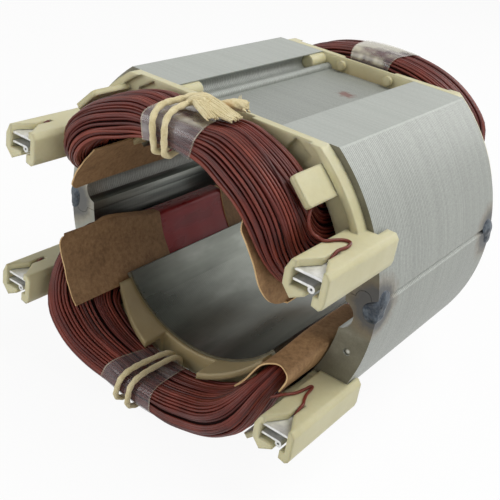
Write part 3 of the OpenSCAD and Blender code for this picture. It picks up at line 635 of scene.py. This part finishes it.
class Build:
    """Collects vertices and faces of several shapes into one mesh."""

    def __init__(self):
        self.v, self.f, self.m = [], [], []

    def grid(self, rows, mat=0, close_rows=False, close_cols=False):
        base = len(self.v)
        n, m = len(rows), len(rows[0])
        for row in rows:
            self.v.extend(row)
        for i in range(n if close_rows else n - 1):
            for j in range(m if close_cols else m - 1):
                a, b = base + i * m, base + (i + 1) % n * m
                c, d = j, (j + 1) % m
                self.f.append((a + c, a + d, b + d, b + c))
                self.m.append(mat)

    def cap(self, ring, mat=0, flip=False):
        base = len(self.v)
        self.v.extend(ring)
        face = tuple(range(base, base + len(ring)))
        self.f.append(tuple(reversed(face)) if flip else face)
        self.m.append(mat)

    def tube(self, path, radius, sides, mat=0, refs=None, closed=False, lobes=0, lobe_depth=0.0, twist=0.0):
        """A round bar along a path; lobes turn about it as it runs, and refs steady its start angle."""
        n = len(path)
        rows = []
        travel = 0.0
        normal = None
        for i in range(n):
            if closed:
                t = path[(i + 1) % n] - path[i - 1]
            else:
                t = path[min(i + 1, n - 1)] - path[max(i - 1, 0)]
            t.normalize()
            if i:
                travel += (path[i] - path[i - 1]).length
            ref = refs[i] if refs else (normal if normal is not None else t.orthogonal())
            normal = ref - t * ref.dot(t)
            normal.normalize()
            other = t.cross(normal)
            r = radius[i] if isinstance(radius, list) else radius
            row = []
            for k in range(sides):
                a = 2 * math.pi * k / sides
                rr = r * (1 + lobe_depth * math.cos(lobes * (a - twist * travel))) if lobes else r
                row.append(path[i] + (normal * math.cos(a) + other * math.sin(a)) * rr)
            rows.append(row)
        self.grid(rows, mat, close_rows=closed, close_cols=True)
        if not closed:
            self.cap(rows[0], mat, True)
            self.cap(rows[-1], mat)


def turned(points):
    return [Vector((-p.x, p.y, -p.z)) for p in points]


def placed(points, half):
    """The lower half's pieces are made like the upper one's and turned half a turn."""
    return turned(points) if half == "lower" else points


def smooth_path(points, per=8):
    """Catmull-Rom through the points."""
    pts = [Vector(p) for p in points]
    pts = [pts[0] * 2 - pts[1]] + pts + [pts[-1] * 2 - pts[-2]]
    out = []
    for i in range(1, len(pts) - 2):
        p0, p1, p2, p3 = pts[i - 1:i + 3]
        for k in range(per):
            t = k / per
            out.append(0.5 * ((2 * p1) + (p2 - p0) * t + (2 * p0 - 5 * p1 + 4 * p2 - p3) * t * t
                              + (3 * p1 - p0 - 3 * p2 + p3) * t * t * t))
    out.append(pts[-2])
    return out


def hash_of(*words):
    return sum((k + 1) * ord(c) for k, c in enumerate("".join(words)))


def eased_loop(path, passes):
    """Takes the kinks out of a closed path."""
    n = len(path)
    for k in range(passes):
        path = [(path[i - 1] + path[i] * 2 + path[(i + 1) % n]) / 4 for i in range(n)]
    return path


# ---------------------------------------------------------------- coils
def wire_starts(half):
    """Angles of the outer layer's wires, in equal steps round the section."""
    ref = turn_station(0.3, -1, half)
    ring = [section_at(ref, p, -WIRE_R) for p in range(360)]
    run = [0.0]
    for i in range(360):
        run.append(run[-1] + (ring[(i + 1) % 360] - ring[i]).length)
    count = int(run[-1] / WIRE_PITCH)
    starts = []
    for k in range(count):
        goal = run[-1] * k / count
        i = max(j for j in range(360) if run[j] <= goal)
        starts.append(i + (goal - run[i]) / (run[i + 1] - run[i]))
    return starts


def wire_run(stations, start, lift, wander, rnd):
    """One turn of wire from a start angle, drifting up to about wander degrees and sinking here and there."""
    waves = [(rnd.uniform(0, TURN), h, rnd.uniform(0.4, 1.0) / h ** 0.5) for h in (1, 2, 3)]
    deep = [(rnd.uniform(0, TURN), h) for h in (1, 2, 4)]
    path, refs = [], []
    for i, s in enumerate(stations):
        q = 2 * math.pi * i / len(stations)
        drift = sum(a * math.sin(h * q + ph) for ph, h, a in waves) / 1.8
        sink = sum(math.sin(h * q + ph) for ph, h in deep) / 3
        path.append(section_at(s, start + wander * drift, -WIRE_R - WIRE_INSET + lift + 0.08 * sink))
        a = rad((s.a_in + s.a_out) / 2)
        refs.append(Vector((math.cos(a), 0.2 * math.copysign(1, s.y_in), math.sin(a))))
    return eased_loop(path, 3), refs


def make_coil(half):
    """Field coil wound from single wires over an inner body painted near-black as shade."""
    rnd = random.Random(COIL_SEED[half])
    stations = coil_stations(half)
    starts = wire_starts(half)
    step = 360.0 / len(starts)
    b = Build()
    inside = [[section_at(s, p, -INSIDE_DEPTH) for p in range(0, 360, 9)] for s in stations]
    b.grid([placed(row, half) for row in inside], len(WIRES), True, True)
    lifts = (0.0, 0.0, 0.0, -0.18, -0.34)
    wires = [(p + step * rnd.uniform(-0.12, 0.12), rnd.choice(lifts), 0.08) for p in starts]
    wires += [(rnd.uniform(0, 360), 0.06, 1.6) for k in range(STRAYS)]
    wires += [(rnd.uniform(-60, 100), 0.08, 2.6) for k in range(STRAYS)]
    for start, lift, wander in wires:
        path, refs = wire_run(stations, start, lift, step * wander, rnd)
        tone = rnd.choice([0, 0, 1, 1, 2, 3])
        b.tube(placed(path, half), WIRE_R, WIRE_SIDES, tone, placed(refs, half), closed=True)
    piece("coil_%s" % half, b, WIRES + [SHADED_INSIDE], ("field_coil_%s" % half,))


def make_skin_strip(half, side):
    """Varnished skin over the stretch of a coil side that the papers leave bare."""
    same = (half == "upper") == (side == "right")
    low = LOW_RIGHT if same else LOW_LEFT
    top = SLOT_LOW if half == "lower" and same else low
    a0 = height_a(top - 0.1, SKIN_R)
    edge = [(SIDE_OUT_R - 0.4, -0.6), (33.0, -0.3), (31.4, 0.1), (30.85, 0.7)]
    rows = []
    for i in range(24):
        y = mix(-SKIN_Y, SKIN_Y, i / 23)
        lump = 0.03 * math.sin(0.9 * i) + 0.02 * math.sin(2.3 * i + 1)
        line = [polar(r, a0 + a) for r, a in edge]
        line += [polar(SKIN_R - 0.05 + lump, mix(a0 + 1.8, SKIN_A, k / 14)) for k in range(15)]
        rows.append(placed([Vector((p.x if same else -p.x, y, p.z)) for p in line], half))
    b = Build()
    b.grid(rows)
    piece("coil_skin_%s_%s" % (half, side), b, [SKIN])


def make_lead(half, side):
    """End of a coil: on the right out of the end turn and over the tower, on the left only in the tower's slot."""
    top = TOWER_Z[half] + TOWER_H + WIRE_R + LEAD_GAP
    x, y = TOWER_X + LEAD_X, LEAD_Y
    slot = [(x, y - 0.3, top), (x, y - 1.6, top - 0.6), (x, y - 3.0, top - 1.55)]
    if side == "left":
        down = [(0.6, 1.7), (0.6, 1.0), (1.1, 0.5), (2.0, 0.8), (3.0, 1.5)]
        route = [(-x, y - dy, top - dz) for dy, dz in down]
    elif half == "upper":
        route = [(30.0, -38.6, 26.4), (30.8, -41.6, 26.1), (31.9, -43.6, 24.0), (32.9, -43.3, 22.0),
                 (TOWER_X - 0.1, y + 1.1, top + 0.1), (TOWER_X + 1.5, y + 1.2, top),
                 (x - 2.6, y + 3.4, top), (x - 1.3, y + 4.8, top),
                 (x - 0.1, y + 4.6, top), (x + 0.4, y + 2.6, top)] + slot
    else:
        over = [(34.7, -44.6), (36.2, -42.2), (36.9, -39.6), (37.2, -37.7),
                (37.6, -37.4), (37.9, -38.3), (38.2, -40.6), (38.9, -42.6)]
        route = [(32.6, -45.6, -16.9)] + [(px, py, top) for px, py in over] + slot
    b = Build()
    b.tube(smooth_path(route), WIRE_R, 10)
    piece("lead_wire_%s_%s" % (half, side), b, [WIRES[1]], ("lead_%s_%s" % (half, side),))


# ---------------------------------------------------------------- films and ties
def make_film_wrap(end, half):
    """Clear film, a little puckered, with its two cut edges showing pale."""
    e = -1 if end == "front" else 1
    rnd = random.Random(5 + e + (10 if half == "upper" else 0))
    f0, f1 = share(FILM_A[half] - FILM_ARC / 2), share(FILM_A[half] + FILM_ARC / 2)
    waves = [(rnd.uniform(0, TURN), rnd.randint(2, 7), rnd.uniform(0.01, 0.035)) for k in range(5)]
    steps = [0.0, 0.02] + [0.02 + 0.96 * i / 18 for i in range(1, 18)] + [0.98, 1.0]
    rows = []
    for w in steps:
        row = []
        for p in range(0, 360, 3):
            shift = 0.03 * math.sin(2 * rad(p) + 1.0 + 2 * w) + 0.012 * math.sin(7 * rad(p))
            s = turn_station(mix(f0, f1, w + shift * (1 - 2 * abs(w - 0.5))), e, half)
            lump = sum(a * math.sin(h * rad(p) + ph + 3 * w) for ph, h, a in waves)
            row.append(section_at(s, p, FILM_GAP + max(-FILM_GAP / 2, lump)))
        rows.append(placed(row, half))
    b = Build()
    for part, mat in ((rows[:2], 1), (rows[1:-1], 0), (rows[-2:], 1)):
        b.grid(part, mat, False, True)
    piece("film_wrap_%s_%s" % (end, half), b, [FILM, FILM_EDGE], ("film_%s_%s" % (end, half),))


def cord(b, path):
    """Two-ply twine: lobes that turn as the cord runs."""
    b.tube(path, TWINE_R, 18, lobes=2, lobe_depth=0.10, twist=1.25)


def ribbon(b, points, width, count, rnd):
    """Twine that has opened flat: two layers of strands side by side, cut off raggedly."""
    base = smooth_path(points)
    n = len(base)
    for k in range(2 * count):
        place = (k % count + 0.5) / count * 2 - 1
        drift = rnd.uniform(-0.7, 0.7)
        layer = rnd.uniform(-0.1, 0.12) - 0.24 * (k // count)
        wave, phase = rnd.uniform(0.03, 0.08), rnd.uniform(0, TURN)
        last = max(6, n - rnd.randint(0, 3))
        path = []
        for i in range(last):
            run = base[min(i + 1, n - 1)] - base[max(i - 1, 0)]
            side = run.cross(Vector((0, 0, 1))).normalized()
            t = i / (n - 1)
            open_out = mix(0.6, 1.0, ease(t * 2.6))
            drop = Vector((0, 0, layer - 0.35 * place * place))
            across = max(-1.0, min(1.0, place + drift * (t - 0.5))) * open_out
            path.append(base[i] + side * (width / 2 * across + wave * math.sin(5 * t + phase)) + drop)
        b.tube(path, [STRAND_R * (1 - 0.15 * ease(i / (last - 1))) for i in range(last)], 6)


def tuft(b, points, rnd):
    """The brushed-out end of the twine: a soft bulb with loose fibres."""
    path = smooth_path(points)
    n = len(path) - 1
    bulb = [0.62 + 0.58 * ease(1.7 * i / n) for i in range(n + 1)]
    b.tube(path, bulb, 24, lobes=7, lobe_depth=0.08, twist=0.5)
    out = (path[-1] - path[-4]).normalized()
    for k in range(TUFT_FIBRES):
        spread = Vector((rnd.gauss(0, 0.45), rnd.gauss(0, 0.45), rnd.gauss(0.05, 0.45)))
        lean = (out + spread * 0.7).normalized()
        start = path[-1] - out * 0.55 + spread * 0.95
        b.tube([start, start + lean * 0.5, start + lean * rnd.uniform(0.7, 0.95)], [0.3, 0.26, 0.12], 6)
    for k in range(LOOSE_FIBRES):
        start = path[-8] + Vector((rnd.uniform(-0.4, 0.6), rnd.uniform(-0.3, 0.4), 0.8))
        lean = Vector((rnd.uniform(-0.5, 0.3), rnd.uniform(0.3, 1.1), rnd.uniform(0.5, 1.0)))
        tip = start + lean * 1.25 + Vector((rnd.uniform(-0.3, 0.3), 0, 0))
        b.tube([start, start + lean * 0.6, tip], [0.07, 0.06, 0.03], 5)


# the knot, as photographed: how the two bands run on over the crown
LEFT_BAND = [(-3.9, -41.6, 36.9), (-2.9, -40.2, 37.5), (-1.3, -39.3, 38.0), (0.6, -39.0, 38.2), (2.4, -39.2, 38.1)]
RIGHT_BAND = [(-1.3, -42.4, 37.0), (-0.2, -41.6, 37.6), (1.3, -41.2, 38.0), (3.0, -41.4, 38.0)]
# width, strands and route of each flat length: one turn across the bands, two cut ends side by side
# over the coil, one on the film and a short one behind
KNOT = [
    (2.2, 20, [(-1.6, -42.8, 37.2), (-0.9, -42.0, 38.2), (0.3, -40.6, 38.8),
               (0.5, -38.8, 38.7), (-0.4, -37.4, 38.0), (-1.8, -36.6, 37.0)]),
    (2.9, 25, [(-0.4, -39.3, 38.3), (2.0, -39.5, 38.5), (5.0, -39.6, 38.0), (7.6, -39.9, 37.4), (9.9, -39.9, 36.9)]),
    (2.8, 24, [(0.2, -41.0, 38.2), (2.4, -41.4, 38.2), (5.0, -41.7, 37.8), (7.4, -41.6, 37.3), (9.5, -41.1, 36.9)]),
    (2.7, 22, [(-0.2, -41.6, 38.1), (2.0, -42.7, 38.0), (4.5, -43.7, 37.5), (7.0, -44.6, 36.9)]),
    (1.8, 15, [(0.9, -39.4, 38.5), (-0.6, -38.4, 38.5), (-2.8, -37.2, 38.0)]),
]
TUFT = [(3.2, -38.2, 37.5), (4.6, -37.2, 37.7), (6.1, -35.9, 37.8), (7.5, -34.6, 37.7)]


def tie_band(half, side, p0, p1):
    """One of a tie's two bands, from p0 to p1 degrees round the end turn's section."""
    pitch_a = math.degrees(TWINE_PITCH / 2 / TURN_IN_R)
    out = []
    for p in range(p0, p1 + 1, 5):
        a = TIE_A[half] + TWINE_SLANT[half] * math.sin(rad(p)) + side * pitch_a
        out.append(section_at(turn_station(share(a), -1, half), p, TIE_GAP + TWINE_R))
    return out


def make_lower_tie():
    b = Build()
    for side in (-1, 1):
        path = tie_band("lower", side, -290, 70)
        cord(b, turned(path + path[:1]))
    piece("twine_tie_lower", b, [TWINE], ("tie_lower",))


def make_upper_tie():
    rnd = random.Random(3)
    b = Build()
    for band, on in ((tie_band("upper", 1, -250, 70), LEFT_BAND), (tie_band("upper", -1, -250, 66), RIGHT_BAND)):
        cord(b, band[:-1] + smooth_path([band[-1]] + on))
    for width, count, route in KNOT:
        ribbon(b, route, width, count, rnd)
    tuft(b, TUFT, rnd)
    piece("twine_tie_upper", b, [TWINE], ("tie_upper",))


# ---------------------------------------------------------------- slot papers
Paper = namedtuple("Paper", "end half side same cuff reach corner top_a phases")


def polar(r, a):
    return Vector((r * math.cos(rad(a)), 0, r * math.sin(rad(a))))


def paper_for(end, half, side):
    """A paper's reach out of the slot, the rounding of its free corner and how far it goes up the coil side."""
    same = (half == "upper") == (side == "right")
    cuff = half == "lower" and side == "right"
    reach, corner, top_a = LONG_REACH, ROUND_FLAP, PAPER_A
    if not same:
        reach, corner = CUFF_REACH if cuff else SHORT_REACH, SMALL_FLAP
    elif end == "front" and half == "upper":
        reach, top_a = FRONT_REACH, HIGH_PAPER_A
    elif end == "front":
        corner = SMALL_FLAP
    rnd = random.Random(hash_of(end, half, side))
    phases = [rnd.uniform(0, TURN) for k in range(4)]
    return Paper(end, half, side, same, cuff, reach, corner, top_a, phases)


def fold_at(paper, d):
    """Height of a paper's fold at a distance d in front of the core's face."""
    f = (LOW_RIGHT if paper.same else LOW_LEFT) - FOLD_LIFT
    if paper.half == "lower" and paper.same:
        f = mix(SLOT_LOW - FOLD_LIFT, f, ease((d + FOLD_DIP) / DIP_FRONT))
    return f + (CUFF_DROP * ease((d - 1) / CUFF_RUN) if paper.cuff else 0.0)


def fold_path(paper, d, passes):
    """Section of a paper: down the coil's bore side, outward beside the joint and, on a cuff, back over the yoke."""
    fold = fold_at(paper, d)
    out_r = CUFF_R if paper.cuff else mix(FOLD_R, LINER_R + 0.5, ease((d - 1) / 9))
    path = [polar(LINER_R, mix(paper.top_a, height_a(fold, LINER_R), i / 30)) for i in range(31)]
    start, stop = path[-1], polar(out_r, height_a(fold, out_r))
    path += [start.lerp(stop, i / 16) for i in range(1, 17)]
    if paper.cuff:
        path += [polar(CUFF_R, mix(height_a(fold, CUFF_R), CUFF_A, i / 16)) for i in range(1, 17)]
    for k in range(passes):
        path = [path[0]] + [(a + b * 2 + c) / 4 for a, b, c in zip(path, path[1:], path[2:])] + [path[-1]]
    return path


def paper_columns(paper):
    """Sections from the slot to the free end; a cuff gets rounder on the way."""
    out = []
    for j in range(PAPER_STEPS + 1):
        d = mix(-LINER_IN, paper.reach, j / PAPER_STEPS)
        path = fold_path(paper, d, 3)
        if paper.cuff:
            loose = mix(0.35, 1.0, ease((d + 2) / 12))
            path = [a.lerp(b, loose) for a, b in zip(path, fold_path(paper, d, 46))]
        out.append(path)
    return out


def free_end(paper, p, w):
    """Where the paper ends at a point of its last section: a rounded corner, a slant and a cut by hand."""
    corner, ph = paper.corner, paper.phases
    h = max(0.0, min(corner, p.z - fold_at(paper, paper.reach)))
    y = paper.reach - corner + math.sqrt(max(0.0, corner ** 2 - (corner - h) ** 2))
    up = math.degrees(math.atan2(p.z, p.x)) - PAPER_A
    y -= PAPER_SLANT * ease(up / (HIGH_PAPER_A - PAPER_A))
    ragged = 0.11 * (1 + math.sin(9.0 * w + ph[0])) + 0.06 * (1 + math.sin(31.0 * w + ph[1]))
    return y - (CUFF_RAGGED if paper.cuff else 1.0) * ragged


def paper_sides(paper):
    """The two faces of a paper as rows of points, flaring a little where it is free."""
    e = -1 if paper.end == "front" else 1
    ph = paper.phases
    columns = paper_columns(paper)
    n = len(columns[0])
    inner, outer = [], []
    for i in range(n):
        y_end = free_end(paper, columns[-1][i], i / n)
        row_i, row_o = [], []
        for j, path in enumerate(columns):
            t = path[min(i + 1, n - 1)] - path[max(i - 1, 0)]
            normal = Vector((t.z, 0, -t.x)).normalized()
            y = mix(FACE_Y - LINER_IN, FACE_Y + y_end, j / PAPER_STEPS)
            free = ease((y - FACE_Y) / 18.0)
            flare = free * (0.14 + 0.14 * math.sin(i * 0.2 + ph[2] + 2.2 * free))
            flare += 0.03 * math.sin(0.3 * i + 0.4 * j + ph[3])
            c = Vector((path[i].x, e * y, path[i].z)) + normal * flare
            row_i.append(c + normal * PAPER_T / 2)
            row_o.append(c - normal * PAPER_T / 2)
        inner.append(row_i)
        outer.append(row_o)
    return inner, outer


def make_liner(end, half, side):
    """Slot paper: over the bore side of the coil side, folded outward beside the joint."""
    paper = paper_for(end, half, side)
    faces = []
    for rows in paper_sides(paper):
        if not paper.same:
            rows = [[Vector((-p.x, p.y, p.z)) for p in row] for row in rows]
        faces.append([placed(row, half) for row in rows])
    inner, outer = faces
    b = Build()
    b.grid(inner)
    b.grid(outer)
    for k in (-1, 0):
        b.grid([[r[k] for r in inner], [r[k] for r in outer]], 1)
    for k in (0, -1):
        b.grid([inner[k], outer[k]], 1)
    name = "%s_%s_%s" % (end, half, side)
    piece("paper_" + name, b, [PAPER, PAPER_EDGE], ("liner_" + name,))


# ---------------------------------------------------------------- welds
def pool_point(rho, t, ph, angle, end):
    """Point of a weld pool, at a share rho of its radius and an angle t, on the core's flank or its end face."""
    edge = 1 + 0.10 * math.sin(2 * t + ph[0]) + 0.08 * math.sin(3 * t + ph[1]) + 0.05 * math.sin(5 * t + ph[2])
    across = POOL_R * rho * edge * math.sin(t)
    along = POOL_R * rho * edge * math.cos(t) + 0.9 + 0.3 * across
    ripple = 0.14 * math.sin(1.7 * across + ph[3]) + 0.1 * math.sin(2.3 * along + ph[4])
    high = max(0.0, 1 - rho ** 2.6) ** 0.7 * (1 + ripple) - 0.08
    flank = ease((along + 1.2) / 2.4)
    r = CORE_R + min(0.0, along) + min(0.88, 0.8 * high) * flank
    y = FACE_Y - max(0.0, along) + 0.5 * high * (1 - flank)
    a = rad(angle) + (across - 1.2) / CORE_R
    return Vector((r * math.cos(a), end * y, r * math.sin(a)))


def make_weld_blob(name, angle, end):
    """Weld at the end of a joint: an uneven pool that runs over the core's edge."""
    rnd = random.Random(hash_of(name))
    ph = [rnd.uniform(0, TURN) for k in range(5)]
    round_it = [2 * math.pi * k / POOL_STEPS for k in range(POOL_STEPS)]
    rows = [[pool_point(i / POOL_RINGS, t, ph, angle, end) for t in round_it] for i in range(POOL_RINGS + 1)]
    b = Build()
    b.grid(rows, close_cols=True)
    piece("bead_" + name, b, [WELD], ("weld_" + name,))


for end in ("front", "rear"):
    e = -1 if end == "front" else 1
    make_weld_blob(end + "_right", height_a(WELD_Z, CORE_R), e)
    make_weld_blob(end + "_left", 180 + height_a(WELD_Z, CORE_R), e)
    for half in ("upper", "lower"):
        for side in ("right", "left"):
            make_liner(end, half, side)
for half in ("upper", "lower"):
    for side in ("right", "left"):
        make_lead(half, side)
        make_skin_strip(half, side)
for half, make_tie in (("upper", make_upper_tie), ("lower", make_lower_tie)):
    make_coil(half)
    make_tie()
    for end in ("front", "rear"):
        make_film_wrap(end, half)

# ---------------------------------------------------------------- the CAD nodes' own finishes
FINISH = {"core": STEEL, "front": NYLON, "rear": NYLON, "terminal": TIN}
for name, obj in nodes.items():
    mat = FINISH.get(name.split("_")[0])
    if mat is None:
        continue
    if not obj.material_slots:
        obj.data.materials.append(mat)
    for s in obj.material_slots:
        s.material = mat

# ---------------------------------------------------------------- stage
FLOOR_HALF, FLOOR_GAP = 4, 0.0002  # m
FLOOR_COLOUR, FLOOR_GLOW = (0.86, 0.86, 0.85, 1), 0.93
WHITE = (1, 1, 1, 1)
WORLD_LIGHT, WORLD_SEEN = 0.2, 1.0  # the white surroundings light the part less than they show
# name, place, target, size in m, power in W
LAMPS = [
    ("key", (0.22, 0.12, 0.55), (0, 0, 0), 0.5, 2.75),
    ("side", (0.6, -0.15, 0.22), (0, 0, 0), 0.4, 0.5),
    ("fill", (-0.35, -0.5, 0.22), (0, 0, 0), 0.5, 1.5),
    ("rear", (0.1, 0.5, 0.2), (0, 0, 0), 0.3, 0.4),
    ("low", (0.1, -0.55, 0.02), (0, 0, -0.02), 0.4, 0.5),
]
# the camera that was fitted to the photograph
CAMERA_AT = (103.71, -177.18, 94.50)
CAMERA_FORWARD = (-0.47118, 0.75157, -0.46165)
CAMERA_RIGHT = (0.79314, 0.59001, 0.15103)
FOCAL_PX, PHOTO_PX, SENSOR = 869.84, 500, 36.0


def seen(tree):
    """1 for the rays that show the background: straight from the camera, in a reflection or through film."""
    path = tree.nodes.new("ShaderNodeLightPath")
    total = path.outputs["Is Camera Ray"]
    for kind in ("Is Glossy Ray", "Is Transmission Ray"):
        top = tree.nodes.new("ShaderNodeMath")
        top.operation = "MAXIMUM"
        tree.links.new(total, top.inputs[0])
        tree.links.new(path.outputs[kind], top.inputs[1])
        total = top.outputs[0]
    return total


def make_floor_material():
    """White paper: it takes shadows, and shows as nearly the white background."""
    mat = bpy.data.materials.new("floor")
    mat.use_nodes = True
    tree = mat.node_tree
    tree.nodes.clear()
    result = tree.nodes.new("ShaderNodeOutputMaterial")
    mixer = tree.nodes.new("ShaderNodeMixShader")
    dull = tree.nodes.new("ShaderNodeBsdfDiffuse")
    dull.inputs["Color"].default_value = FLOOR_COLOUR
    glow = tree.nodes.new("ShaderNodeEmission")
    glow.inputs["Color"].default_value = WHITE
    part = tree.nodes.new("ShaderNodeMath")
    part.operation = "MULTIPLY"
    part.inputs[1].default_value = FLOOR_GLOW
    tree.links.new(seen(tree), part.inputs[0])
    for k, source in enumerate((part, dull, glow)):
        tree.links.new(source.outputs[0], mixer.inputs[k])
    tree.links.new(mixer.outputs[0], result.inputs[0])
    return mat


def make_floor():
    z = cad_box[0][2] - FLOOR_GAP
    mesh = bpy.data.meshes.new("floor")
    corners = [(-1, -1), (1, -1), (1, 1), (-1, 1)]
    mesh.from_pydata([(sx * FLOOR_HALF, sy * FLOOR_HALF, z) for sx, sy in corners], [], [(0, 1, 2, 3)])
    mesh.materials.append(make_floor_material())
    floor = bpy.data.objects.new("floor", mesh)
    bpy.context.scene.collection.objects.link(floor)


def make_world():
    world = bpy.data.worlds.new("studio")
    bpy.context.scene.world = world
    world.use_nodes = True
    tree = world.node_tree
    back = tree.nodes["Background"]
    back.inputs["Color"].default_value = WHITE
    level = tree.nodes.new("ShaderNodeMapRange")
    level.inputs["To Min"].default_value = WORLD_LIGHT
    level.inputs["To Max"].default_value = WORLD_SEEN
    tree.links.new(seen(tree), level.inputs["Value"])
    tree.links.new(level.outputs["Result"], back.inputs["Strength"])


def lamp(name, pos, target, size, power):
    data = bpy.data.lights.new(name, "AREA")
    data.shape = "DISK"
    data.size = size
    data.energy = power
    obj = bpy.data.objects.new(name, data)
    obj.location = Vector(pos)
    obj.rotation_euler = (Vector(target) - Vector(pos)).to_track_quat("-Z", "Y").to_euler()
    bpy.context.scene.collection.objects.link(obj)


def make_camera():
    data = bpy.data.cameras.new("camera")
    data.sensor_fit = "HORIZONTAL"
    data.sensor_width = SENSOR
    data.lens = FOCAL_PX / PHOTO_PX * SENSOR
    data.clip_start = 0.01
    data.dof.use_dof = False
    forward = Vector(CAMERA_FORWARD).normalized()
    right = Vector(CAMERA_RIGHT)
    right = (right - forward * right.dot(forward)).normalized()
    turn = Matrix((right, right.cross(forward), -forward)).transposed()
    obj = bpy.data.objects.new("camera", data)
    obj.matrix_world = Matrix.Translation(Vector(CAMERA_AT) * MM) @ turn.to_4x4()
    bpy.context.scene.collection.objects.link(obj)
    bpy.context.scene.camera = obj


make_floor()
make_world()
for row in LAMPS:
    lamp(*row)
make_camera()
bpy.context.scene.view_settings.view_transform = "Standard"
